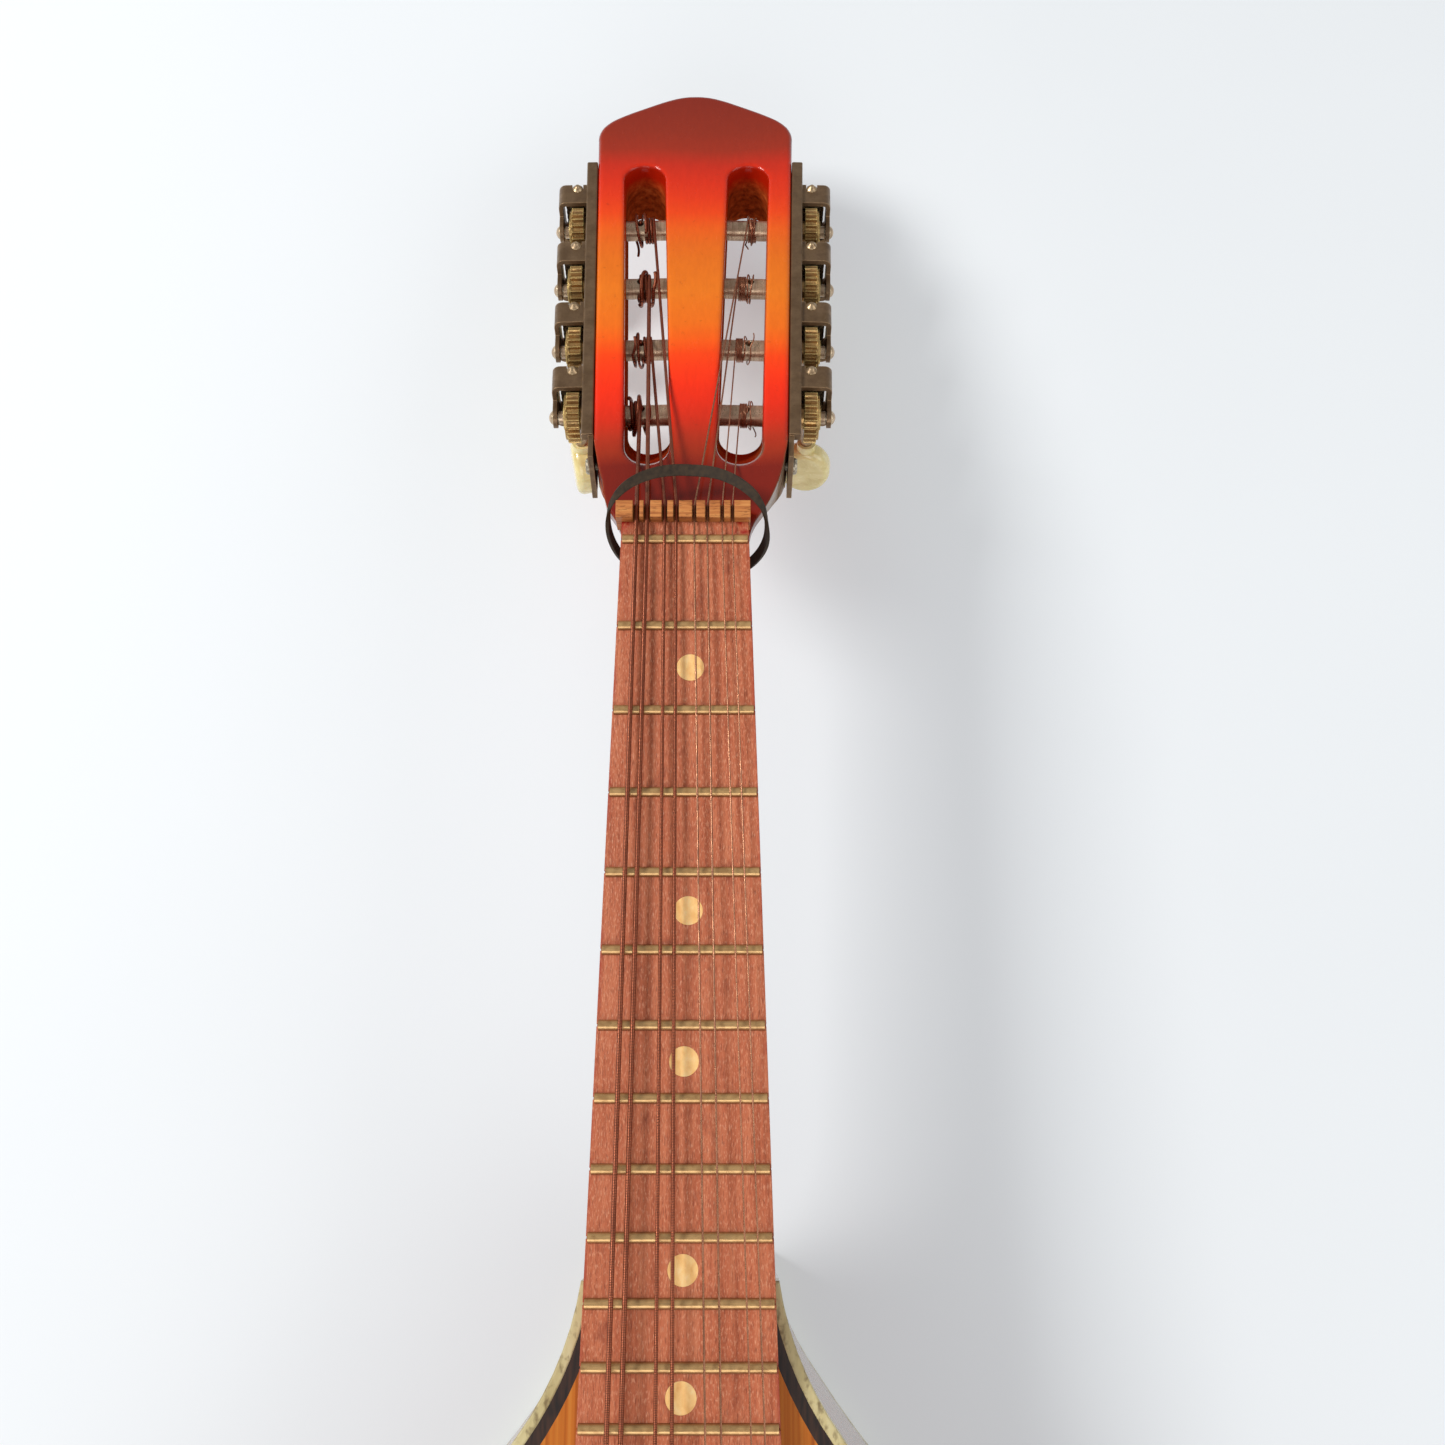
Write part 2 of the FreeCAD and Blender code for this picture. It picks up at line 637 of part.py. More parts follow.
def flat_edges(shape, levels, y_min):
    """numbers of the edges lying flat at the given heights over the face"""
    inverse = HEAD.inverse()
    found = []
    for n, edge in enumerate(shape.Edges, 1):
        span = edge.LastParameter - edge.FirstParameter
        points = [inverse.multVec(edge.valueAt(edge.FirstParameter
                                               + span * j / 4.0))
                  for j in range(5)]
        if min(p.y for p in points) > y_min and any(
                max(abs(p.z - z) for p in points) < 1e-3 for z in levels):
            found.append(n)
    return found


shaft = shaft_loft()
flare = flare_loft()
head_plan = feature("HeadPlan", head_face(), HEAD)
head_slab = extrusion("HeadSlab", head_plan,
                      HEAD.Rotation.multVec(Vector(0, 0, -1)),
                      "Dims.head_thick")
doc.recompute()
# eased outline edges, front and back
ease = dim("edge_ease")
head_soft = fillet("HeadSoft", head_slab, [
    (n, ease, ease) for n in flat_edges(head_slab.Shape,
                                        (0, -dim("head_thick")), 20.5)])
doc.recompute()

# ----------------------------------------------------------- side frames
# One each side, turned so that the rails lie on the tapering sides.
# Local x to the right, local y along the side, local z out of the face.
# The sign is +1 on the right and -1 on the left; distances 'out' are
# measured from the side, away from the headstock.
SIDES = {}
for key, sign in (("l", -1), ("r", 1)):
    SIDES[key] = (sign, HEAD.multiply(Placement(
        Vector(HEAD_MID + sign * dim("side_half"), dim("side_s"), 0),
        Rotation(Vector(0, 0, 1), -sign * dim("side_turn")))))
POSTS = [(i - 1.5) * dim("tuner_pitch") for i in range(4)]
RAIL_SCREWS = (-46.8, 46.4)
RAIL_SCREW_RADIUS = 0.95
POST_Z = -dim("post_deep")
SLOT_IN = {-1: dim("slot_in_left"), 1: dim("slot_in_right")}


def local_box(out, along, level, sign):
    """box in the side frame from three (start, end) pairs"""
    x_low, x_high = sorted((sign * out[0], sign * out[1]))
    return Part.makeBox(x_high - x_low, along[1] - along[0],
                        level[1] - level[0],
                        Vector(x_low, along[0], level[0]))


def local_rod(radius, out_start, out_end, along, level, sign):
    """cylinder square to the side, in the side frame"""
    way = 1 if out_end > out_start else -1
    return Part.makeCylinder(radius, abs(out_end - out_start),
                             Vector(sign * out_start, along, level),
                             Vector(sign * way, 0, 0))


# ------------------------------------------------- headstock slots, neck
def stadium(x_mid, radius, y_low, y_high):
    """round-ended face at z = 0"""
    low, high = y_low + radius, y_high - radius
    solid = Part.makeBox(2 * radius, high - low, 1,
                         Vector(x_mid - radius, low, 0))
    solid = solid.fuse(Part.makeCylinder(radius, 1, Vector(x_mid, low, 0)))
    solid = solid.fuse(Part.makeCylinder(radius, 1, Vector(x_mid, high, 0)))
    solid = solid.removeSplitter()
    return [f for f in solid.Faces if abs(f.CenterOfMass.z) < NEAR][0]


def head_slot(sign):
    """slot through the headstock with a ramp at the nut end"""
    radius = dim("slot_wide") / 2
    x_mid = -sign * (SLOT_IN[sign] + radius)
    start = dim("slot_start_s") - dim("side_s")
    end = dim("slot_end_s") - dim("side_s")
    ramp, thick = dim("slot_ramp"), dim("head_thick")
    over = 2             # overshoot in front of and behind the headstock
    tall = thick + 2 * over
    straight = stadium(x_mid, radius, start + ramp, end)
    straight.translate(Vector(0, 0, -thick - over))
    straight = straight.extrude(Vector(0, 0, tall))
    slope = stadium(x_mid, radius, start, end - 30)
    slope.translate(Vector(0, -ramp * over / thick, over))
    slope = slope.extrude(Vector(0, ramp * tall / thick, -tall))
    return straight.fuse(slope)


head_tools = []
for sign, frame in SIDES.values():
    head_tools.append((frame, head_slot(sign)))
    hole_radius = dim("post_radius") + dim("post_clear")
    hole_end = -(SLOT_IN[sign] + dim("slot_wide") + 3.2)
    for along in POSTS:
        head_tools.append((frame, local_rod(hole_radius, 2.0, hole_end,
                                            along, POST_Z, sign)))
# pilot holes for the rails' wood screws
for sign, frame in SIDES.values():
    for along in RAIL_SCREWS:
        head_tools.append((frame, local_rod(RAIL_SCREW_RADIUS, 0.5, -4.9,
                                            along, POST_Z, sign)))
tool_objs = [feature("HeadTool%02d" % i, shape, frame)
             for i, (frame, shape) in enumerate(head_tools)]
neck_body = fuse("NeckBody", [shaft, flare, head_soft])
over_top = box("OverTop", "80", "9.5", "20", "-40", "Dims.head_y - 9.5",
               "Dims.top_z")
neck_trim = cut("NeckTrim", neck_body, over_top)
neck_cut = cut("NeckCut", neck_trim, group("HeadTools", tool_objs))
doc.recompute()

# the slots' front rims are eased as well
ease = dim("slot_ease")
slot_rims = []
for n in flat_edges(neck_cut.Shape, (0,), 10.0):
    middle = HEAD.inverse().multVec(neck_cut.Shape.Edges[n - 1].CenterOfMass)
    if middle.y < 114.5 and abs(middle.x - HEAD_MID) < 20.5:
        slot_rims.append((n, ease, ease))
neck = fillet("NeckRims", neck_cut, slot_rims)
doc.recompute()
piece(neck, "neck")


# ------------------------------------------------------ bridge and saddle
def bridge_foot(name, x):
    return box(name, "Dims.bridge_long*0.26", "Dims.bridge_wide",
               "Dims.bridge_tall - 2.5", x, "-Dims.bridge_wide/2",
               "Dims.top_z")


def saddle_box(name, height):
    return box(name, "Dims.saddle_long", "Dims.saddle_wide", height,
               "Dims.course_shift - Dims.saddle_long/2",
               "-Dims.saddle_wide/2", "Dims.top_z + Dims.bridge_tall - 2")


bridge_raw = fuse("BridgeRaw", [
    bridge_foot("BridgeFootL", "Dims.course_shift - Dims.bridge_long/2"),
    bridge_foot("BridgeFootR", "Dims.course_shift + Dims.bridge_long*0.24"),
    box("BridgeBeam", "Dims.bridge_long*0.66", "Dims.bridge_wide - 1.6",
        "Dims.bridge_tall - 2", "Dims.course_shift - Dims.bridge_long*0.33",
        "-Dims.bridge_wide/2 + 0.8", "Dims.top_z + 2")])
piece(cut("Bridge", bridge_raw, saddle_box("BridgeSlot", "5")), "bridge")

saddle_slots = string_slots("SaddleSlot", 2, 0.34, "8", "4", "-4",
                            "Dims.string_bridge_z - 0.88")
piece(cut("Saddle", saddle_box("SaddleRaw", "Dims.saddle_tall"),
          group("SaddleTools", saddle_slots)), "bridge_saddle")

# ------------------------------------------------------------- tailpiece
TOP_Z = dim("top_z")
COURSE_MID = dim("course_shift")
LEAF_LIFT = 0.4          # gap between the soundboard and the top leaf
LEAF_Y = dim("tail_y") - 0.02   # inner face of the end leaf
LEAF_BEND = 1.0
HOOK_PITCH = 3.6
HOOK_WIDE = 1.3
HOOK_X = [COURSE_MID + (i - 3.5) * HOOK_PITCH for i in range(8)]


def tailpiece_shape():
    """bent sheet over the tail edge, with a hook for each string"""
    gauge, wide, drop = dim("tail_gauge"), dim("tail_wide"), dim("tail_drop")
    x_low = COURSE_MID - wide / 2
    y_low = LEAF_Y - gauge
    under = TOP_Z + LEAF_LIFT
    hook_y = dim("hook_y")
    top_leaf = Part.makeBox(wide, dim("tail_reach") + gauge, gauge,
                            Vector(x_low, y_low, under))
    end_leaf = Part.makeBox(wide, gauge, drop + gauge,
                            Vector(x_low, y_low, under - drop))
    leaf = top_leaf.fuse(end_leaf).removeSplitter()
    bend = [e for e in leaf.Edges
            if abs(e.CenterOfMass.y - y_low) < NEAR
            and abs(e.CenterOfMass.z - (under + gauge)) < NEAR]
    leaf = leaf.makeFillet(LEAF_BEND, bend)
    for x in HOOK_X:
        x_hook = x - HOOK_WIDE / 2
        stem = Part.makeBox(HOOK_WIDE, 1.2, 4.4,
                            Vector(x_hook, hook_y - 0.6, TOP_Z + 0.6))
        lip = Part.makeBox(HOOK_WIDE, 3.4, 1.0,
                           Vector(x_hook, hook_y - 3.4, TOP_Z + 4.0))
        leaf = leaf.fuse([stem, lip])
    leaf = leaf.removeSplitter()
    for shift, below in TAIL_SCREWS:
        leaf = leaf.cut(Part.makeCylinder(
            1.55, 6, Vector(COURSE_MID + shift, LEAF_Y - 4, TOP_Z - below),
            Vector(0, 1, 0)))
    return leaf


def wood_screw(head_radius, head_tall, shank_radius, length):
    """slotted round head from z = 0 up, shank down the -z axis"""
    point_long, slot_wide, slot_deep = 1.5, 0.45, 0.45
    head = Part.makeCylinder(head_radius, head_tall)
    rim = [e for e in head.Edges
           if abs(e.CenterOfMass.z - head_tall) < NEAR and e.Length > 3]
    head = head.makeFillet(head_tall * 0.6, rim)
    head = head.cut(Part.makeBox(
        4 * head_radius, slot_wide, 0.6,
        Vector(-2 * head_radius, -slot_wide / 2, head_tall - slot_deep)))
    shank = Part.makeCylinder(shank_radius, length - point_long,
                              Vector(0, 0, -length + point_long))
    point = Part.makeCone(0.2, shank_radius, point_long,
                          Vector(0, 0, -length))
    return head.fuse([shank, point]).removeSplitter()


piece(feature("Tailpiece", tailpiece_shape()), "tailpiece")

screws = []
for shift, below in TAIL_SCREWS:
    screw = wood_screw(head_radius=3.0, head_tall=1.6, shank_radius=1.5,
                       length=12)
    screw.Placement = Placement(
        Vector(COURSE_MID + shift, LEAF_Y - dim("tail_gauge"),
               TOP_Z - below), Rotation(Vector(1, 0, 0), 90))
    screws.append(screw)
piece(feature("TailScrews", Part.makeCompound(screws)),
      "tailpiece_screws")

# ----------------------------------------------------------- tuner rails
GEAR_OUT = dim("gear_out")
GEAR_PITCH_RADIUS = dim("gear_module") * dim("gear_teeth") / 2
# from a post's axis to its worm's axis, along the side
WORM_AHEAD = GEAR_PITCH_RADIUS + dim("worm_pitch_radius")
# post steps outside its main barrel: the gear's seat, then the end
SEAT_RADIUS, SEAT_OUT = 1.5, 2.4
END_RADIUS, END_OUT = 1.1, 8.8

# (start, end) pairs along the side and in local z
RAIL_SPAN, RAIL_LEVEL = (-50.0, 49.2), (-15.6, -0.9)
LIP_SPAN, LIP_LEVEL = (-43.8, 49.2), (-2.4, -0.3)
RAIL_GAP = 0.02          # between the wood and the rail
LIP_EASE = 0.45
BRACKET_SPAN = (-5.2, 1.5)      # either way from the worm's axis
BRACKET_OUTER, BRACKET_INNER = (-14.6, -1.3), (-13.4, -2.5)
BEND_OUTER, BEND_INNER = 1.9, 0.9
ARM_HALF = 2.4           # half width of the arm that holds the post's end


def round_bends(block, length, out, radius):
    """fillet the edges along the side at the given outward distance"""
    bends = [e for e in block.Edges if abs(e.Length - length) < NEAR
             and abs(abs(e.CenterOfMass.x) - out) < NEAR]
    return block.makeFillet(radius, bends)


def bearing_slot(radius, along, z, sign):
    """hole through a bracket tab, open on the side away from the nut"""
    x = sign * GEAR_OUT
    return [Part.makeCylinder(radius, 4, Vector(x, along, z)),
            Part.makeBox(2 * radius, 6, 4, Vector(x - radius, along, z))]


def rail_shape(sign):
    """side plate with a raised front lip and four worm brackets"""
    gauge = dim("plate_gauge")
    clear = dim("journal_clear")
    wall = dim("wall_out")
    wall_face = wall + dim("wall_gauge")
    plate = local_box((RAIL_GAP, gauge), RAIL_SPAN, RAIL_LEVEL, sign)
    lip = local_box((RAIL_GAP, dim("lip_wide")), LIP_SPAN, LIP_LEVEL, sign)
    front = [e for e in lip.Edges
             if e.Length > 50 and e.CenterOfMass.z > -1.0]
    parts = [lip.makeFillet(LIP_EASE, front)]
    cuts = []
    for post in POSTS:
        worm = post + WORM_AHEAD
        # bent sheet: front and rear tabs with a round bend into the wall
        low, high = worm + BRACKET_SPAN[0], worm + BRACKET_SPAN[1]
        hull = local_box((0.5, wall_face), (low, high), BRACKET_OUTER, sign)
        hull = round_bends(hull, high - low, wall_face, BEND_OUTER)
        room = local_box((-1.0, wall), (low - 1, high + 1), BRACKET_INNER,
                         sign)
        room = round_bends(room, high - low + 2, wall, BEND_INNER)
        parts.append(hull.cut(room))
        parts.append(local_box((wall, wall_face), (post, low + 0.2),
                               (POST_Z - ARM_HALF, POST_Z + ARM_HALF), sign))
        parts.append(local_rod(ARM_HALF, wall, wall_face, post, POST_Z,
                               sign))
        cuts.append(local_rod(END_RADIUS + clear, wall - 1, wall_face + 1,
                              post, POST_Z, sign))
        cuts.append(local_rod(dim("post_radius") + dim("post_clear"), -1,
                              gauge + 1, post, POST_Z, sign))
        cuts += bearing_slot(dim("journal_radius") + clear, worm, -4.0, sign)
        cuts += bearing_slot(dim("shaft_radius") + clear, worm, -16.0, sign)
    for along in RAIL_SCREWS:
        cuts.append(local_rod(1.0, -1, gauge + 1, along, POST_Z, sign))
    return plate.fuse(parts).removeSplitter().cut(cuts)


rail_screws = []
for key, (sign, frame) in SIDES.items():
    piece(feature("Rail" + key, rail_shape(sign), frame),
          "tuner_plate_" + ("left" if key == "l" else "right"))
    for along in RAIL_SCREWS:
        screw = wood_screw(head_radius=1.9, head_tall=1.0,
                           shank_radius=RAIL_SCREW_RADIUS, length=6.0)
        screw.Placement = frame.multiply(Placement(
            Vector(sign * dim("plate_gauge"), along, POST_Z),
            Rotation(Vector(0, 1, 0), 90 * sign)))
        rail_screws.append(screw)
piece(feature("RailScrews", Part.makeCompound(rail_screws)),
      "tuner_screws")


# ------------------------------------------------- posts, gears and worms
def post_shape(sign):
    """string post on the local x axis"""
    inner = -(SLOT_IN[sign] + dim("slot_wide") + 3.0)
    post = local_rod(dim("post_radius"), inner, SEAT_OUT, 0, 0, sign)
    post = post.fuse(local_rod(SEAT_RADIUS, SEAT_OUT, END_OUT, 0, 0, sign))
    post = post.fuse(local_rod(END_RADIUS, END_OUT, 10.3, 0, 0, sign))
    # peened end, a low dome over the wall
    dome = Part.makeSphere(1.9, Vector(sign * 9.25, 0, 0))
    dome = dome.common(local_box((10.14, 12.0), (-3, 3), (-3, 3), sign))
    post = post.fuse(dome).removeSplitter()
    # cross hole for the string
    x_hole = -sign * (SLOT_IN[sign] + dim("slot_wide") * 0.36)
    return post.cut(Part.makeCylinder(0.9, 12, Vector(x_hole, 0, -6)))


def gear_shape(sign):
    """toothed wheel on the local x axis, a space facing local +y"""
    teeth, wide = int(dim("gear_teeth")), dim("gear_wide")
    # radius and half thickness of a tooth at root, pitch circle and tip
    flank = [(GEAR_PITCH_RADIUS - 0.55, 0.46), (GEAR_PITCH_RADIUS, 0.26),
             (GEAR_PITCH_RADIUS + 0.45, 0.12)]
    polar = []
    for i in range(teeth):
        middle = (i + 0.5) * 2 * math.pi / teeth
        polar += [(middle - half / r, r) for r, half in flank]
        polar += [(middle + half / r, r) for r, half in reversed(flank)]
    points = [Vector(0, r * math.cos(a), r * math.sin(a)) for a, r in polar]
    points.append(points[0])
    gear = Part.Face(Part.makePolygon(points)).extrude(Vector(wide, 0, 0))
    gear.translate(Vector(sign * GEAR_OUT - wide / 2, 0, 0))
    inner, outer = GEAR_OUT - wide / 2, GEAR_OUT + wide / 2
    hub = local_rod(2.9, inner - 0.9, outer + 0.9, 0, 0, sign)
    flange = local_rod(5.2, outer - 0.1, outer + 0.5, 0, 0, sign)
    gear = gear.fuse([hub, flange]).removeSplitter()
    return gear.cut(local_rod(SEAT_RADIUS, GEAR_OUT - 5, GEAR_OUT + 5,
                              0, 0, sign))


def worm_shape():
    """single-start right-hand worm and its shaft on the local z axis;
    thread crest on the local -y side at z = 0"""
    outer, root = dim("worm_outer_radius"), dim("worm_root_radius")
    pitch_radius, length = dim("worm_pitch_radius"), dim("worm_long")
    lead = math.pi * dim("gear_module")
    slope = math.tan(math.radians(20))
    half_thread = 0.31       # half the thread's thickness at the pitch
    sunk = root - 0.30       # the thread starts inside the core
    foot = half_thread + (pitch_radius - sunk) * slope
    crest = half_thread - (outer - pitch_radius) * slope
    turns = int(math.ceil(length / lead)) + 2
    helix = Part.makeHelix(lead, turns * lead, pitch_radius)
    profile = Part.makePolygon([
        Vector(sunk, 0, -foot), Vector(outer, 0, -crest),
        Vector(outer, 0, crest), Vector(sunk, 0, foot),
        Vector(sunk, 0, -foot)])
    thread = Part.Wire(helix.Edges).makePipeShell([profile], True, True)
    thread.translate(Vector(0, 0, -(turns // 2) * lead))
    thread.rotate(Vector(0, 0, 0), Vector(0, 0, 1), -90)
    thread = thread.common(Part.makeBox(20, 20, length,
                                        Vector(-10, -10, -length / 2)))
    core = Part.makeCylinder(root, length, Vector(0, 0, -length / 2))
    worm = core.fuse(thread)
    # the front journal ends in a cone just behind the face plane
    journal, cone_z = dim("journal_radius"), dim("post_deep") - 1.2
    front = Part.makeCylinder(journal, cone_z - length / 2,
                              Vector(0, 0, length / 2))
    front = front.fuse(Part.makeCone(journal, 0.45, 0.9,
                                     Vector(0, 0, cone_z)))
    # the shaft reaches the bottom of the knob's bore
    tip = -(dim("knob_end_deep") - dim("knob_long") + dim("bore_deep")
            - dim("post_deep"))
    rear = Part.makeCylinder(dim("shaft_radius"), -length / 2 - tip,
                             Vector(0, 0, tip))
    return worm.fuse([front, rear])


# ------------------------------------------------------------------ knobs
KNOB_EASE = 1.9
# degrees each knob is turned about its shaft
KNOB_REST = {"l1": 10, "l2": 152, "l3": 18, "l4": 166,
             "r1": 84, "r2": 22, "r3": 158, "r4": 6}


def make_knob(tag):
    """flat oval with a collar and a blind hole for the shaft, along x"""
    oval = doc.addObject("Part::Ellipse", "KnobOval_" + tag)
    bind(oval, MajorRadius="Dims.knob_long/2",
         MinorRadius="Dims.knob_wide/2")
    disc = extrusion("KnobDisc_" + tag, oval, Vector(0, 0, 1),
                     "Dims.knob_thick")
    disc.Symmetric = True
    doc.recompute()
    soft = fillet("KnobSoft_" + tag, disc, [
        (n, KNOB_EASE, KNOB_EASE)
        for n, edge in enumerate(disc.Shape.Edges, 1)
        if len(edge.Vertexes) < 2])
    turn = Rotation(Vector(0, 1, 0), 90)
    collar = cylinder("KnobCollar_" + tag, "Dims.collar_radius", "3.2",
                      "Dims.knob_long/2 - 1.6", "0", "0", turn)
    bore = cylinder("KnobBore_" + tag, "Dims.shaft_radius", "12",
                    "Dims.knob_long/2 - Dims.bore_deep", "0", "0", turn)
    return cut("Knob_" + tag, fuse("KnobRaw_" + tag, [soft, collar]), bore)


worm_master = worm_shape()
for key, (sign, frame) in SIDES.items():
    post_master, gear_master = post_shape(sign), gear_shape(sign)
    for i, along in enumerate(POSTS, 1):
        tag = "%s%d" % (key, i)
        post_place = frame.multiply(Placement(Vector(0, along, POST_Z),
                                              Rotation()))
        worm_x, worm_y = sign * GEAR_OUT, along + WORM_AHEAD
        worm_place = frame.multiply(Placement(
            Vector(worm_x, worm_y, POST_Z), Rotation()))
        piece(feature("Post_" + tag, post_master, post_place),
              "tuner_%s_post" % tag)
        piece(feature("Gear_" + tag, gear_master, post_place),
              "tuner_%s_gear" % tag)
        piece(feature("Worm_" + tag, worm_master, worm_place),
              "tuner_%s_worm" % tag)
        knob = make_knob(tag)
        # the knob's local x turns to the shaft's direction, out of the face
        knob_z = -(dim("knob_end_deep") - dim("knob_long") / 2)
        knob.Placement = frame.multiply(Placement(
            Vector(worm_x, worm_y, knob_z),
            Rotation(Vector(0, 0, 1), KNOB_REST[tag]).multiply(
                Rotation(Vector(0, 1, 0), -90))))
        piece(knob, "tuner_%s_knob" % tag)

# ---------------------------------------------------------------- strings
EXTRA_TURNS = {"l": 2, "r": 4}   # closed rings beside the first part turn
PART_TURN = 285                  # degrees
TURN_GAP = 0.03


def string_shapes(index):
    """straight run from hook to post, then the turns round the post"""
    course, zero_x, bridge_x, side, post, wrap_x = STRINGS[index]
    radius = dim("radius_" + course)
    sign, frame = SIDES[side]
    zero_z = dim("string_zero_z")
    hook_pt = Vector(HOOK_X[index], dim("hook_y") + 0.6 + radius + 0.05,
                     TOP_Z + 2.4)
    bridge_pt = Vector(bridge_x, 0,
                       dim("string_bridge_z") - 0.7 + radius + 0.02)
    zero_pt = Vector(zero_x, dim("scale_length"), zero_z + radius)
    nut_pt = Vector(zero_x, dim("board_nut_y") + dim("nut_thick") - 0.3,
                    zero_z - 0.93 + radius)

    # in the side frame: where the line from the nut touches the wrap circle
    wrap = dim("post_radius") + dim("wrap_clear") + radius
    inverse = frame.inverse()
    nut_local = inverse.multVec(nut_pt)
    post_y = POSTS[post]
    wrap_local_x = inverse.multVec(HEAD.multVec(
        Vector(wrap_x, dim("side_s") + post_y, 0))).x
    run_y, run_z = post_y - nut_local.y, POST_Z - nut_local.z
    angle = (math.atan2(run_z, run_y)
             + math.asin(wrap / math.hypot(run_y, run_z)))
    touch_y = post_y - wrap * math.sin(angle)
    touch_z = POST_Z + wrap * math.cos(angle)
    touch_pt = frame.multVec(Vector(wrap_local_x, touch_y, touch_z))

    corners = [hook_pt, bridge_pt, zero_pt, nut_pt, touch_pt]
    lead = (bridge_pt - hook_pt).normalize()
    end_ring = Part.Wire([Part.Circle(hook_pt, lead, radius).toShape()])
    run = Part.makePolygon(corners).makePipeShell([end_ring], True, False, 1)

    # a part turn takes over from the straight run
    start = math.atan2(touch_y - post_y, touch_z - POST_Z)
    part_turn = Part.makeTorus(wrap, radius, Vector(0, 0, 0),
                               Vector(0, 0, 1), 0, 360, PART_TURN)
    part_turn.Placement = frame.multiply(Placement(
        Vector(wrap_local_x, post_y, POST_Z),
        Rotation(Vector(0, math.sin(start), math.cos(start)),
                 Vector(0, math.cos(start), -math.sin(start)),
                 Vector(-1, 0, 0), "XYZ")))
    shapes = [run, part_turn]
    # closed rings lie beside it, towards the side of the headstock
    step = 2 * radius + TURN_GAP
    for k in range(1, EXTRA_TURNS[side] + 1):
        turn = Part.makeTorus(wrap, radius)
        turn.Placement = frame.multiply(Placement(
            Vector(wrap_local_x + sign * step * k, post_y, POST_Z),
            Rotation(Vector(0, 1, 0), 90)))
        shapes.append(turn)
    return shapes


for course in "gdae":
    shapes = []
    for index, string in enumerate(STRINGS):
        if string[0] == course:
            shapes += string_shapes(index)
    piece(feature("Strings_" + course, Part.makeCompound(shapes)),
          "strings_" + course)

# ----------------------------------------------------------- elastic band
# closed loop round the neck and strings: x, y from the zero fret,
# z from the fretboard's top
BAND_LOOP = [
    (0.6, 15.3, 1.9), (-4.6, 15.0, 2.1), (-9.4, 13.6, 2.1),
    (-13.4, 11.2, 1.7), (-16.0, 8.3, 0.4), (-16.9, 5.6, -2.6),
    (-16.6, 3.4, -7.0), (-14.7, 1.4, -12.5), (-10.9, 0.0, -17.4),
    (-5.2, -1.0, -20.4), (0.6, -1.4, -21.3), (6.6, -1.1, -20.3),
    (12.1, -0.2, -17.2), (15.9, 1.1, -12.3), (17.7, 2.8, -7.0),
    (17.7, 4.8, -2.6), (16.7, 7.4, 0.4), (13.9, 10.6, 1.7),
    (10.0, 13.2, 2.1), (5.4, 14.8, 2.1)]
BAND_HALF_WIDE, BAND_HALF_THICK = 1.25, 0.40


def band_shape():
    """flat rectangular section swept round the loop"""
    points = [Vector(x, dim("scale_length") + y, dim("board_top_z") + z)
              for x, y, z in BAND_LOOP]
    curve = Part.BSplineCurve()
    curve.interpolate(points, PeriodicFlag=True)
    path = Part.Wire([curve.toShape()])
    tangent = curve.tangent(curve.FirstParameter)[0]
    wide = Vector(0, 0.92, 0.38)
    wide = (wide - tangent * wide.dot(tangent)).normalize()
    thin = tangent.cross(wide).normalize()
    section = Part.makePolygon([
        points[0] + wide * a * BAND_HALF_WIDE + thin * b * BAND_HALF_THICK
        for a, b in ((-1, -1), (1, -1), (1, 1), (-1, 1), (-1, -1))])
    sweep = Part.BRepOffsetAPI.MakePipeShell(path)
    sweep.setBiNormalMode(Vector(0, 0.85, 0.53))
    sweep.add(section)
    sweep.build()
    sweep.makeSolid()
    return sweep.shape()


piece(feature("Band", band_shape()), "rubber_band")

# ------------------------------------------------------- check and export
doc.recompute()
os.makedirs("parts", exist_ok=True)
bad = [(obj.Name, str(obj.State)) for obj in doc.Objects
       if "Invalid" in obj.State or "Error" in obj.State]
labels = set()
for obj in pieces:
    shape = obj.Shape
    if shape.isNull() or not shape.isValid() or len(shape.Solids) < 1:
        bad.append((obj.Label, "null, invalid or empty shape"))
    if obj.Label in labels:
        bad.append((obj.Label, "repeated label"))
    labels.add(obj.Label)
if bad:
    raise RuntimeError("bad objects in the model: %s" % bad)
for obj in pieces:
    obj.Shape.exportStep(os.path.join("parts", obj.Label + ".step"))
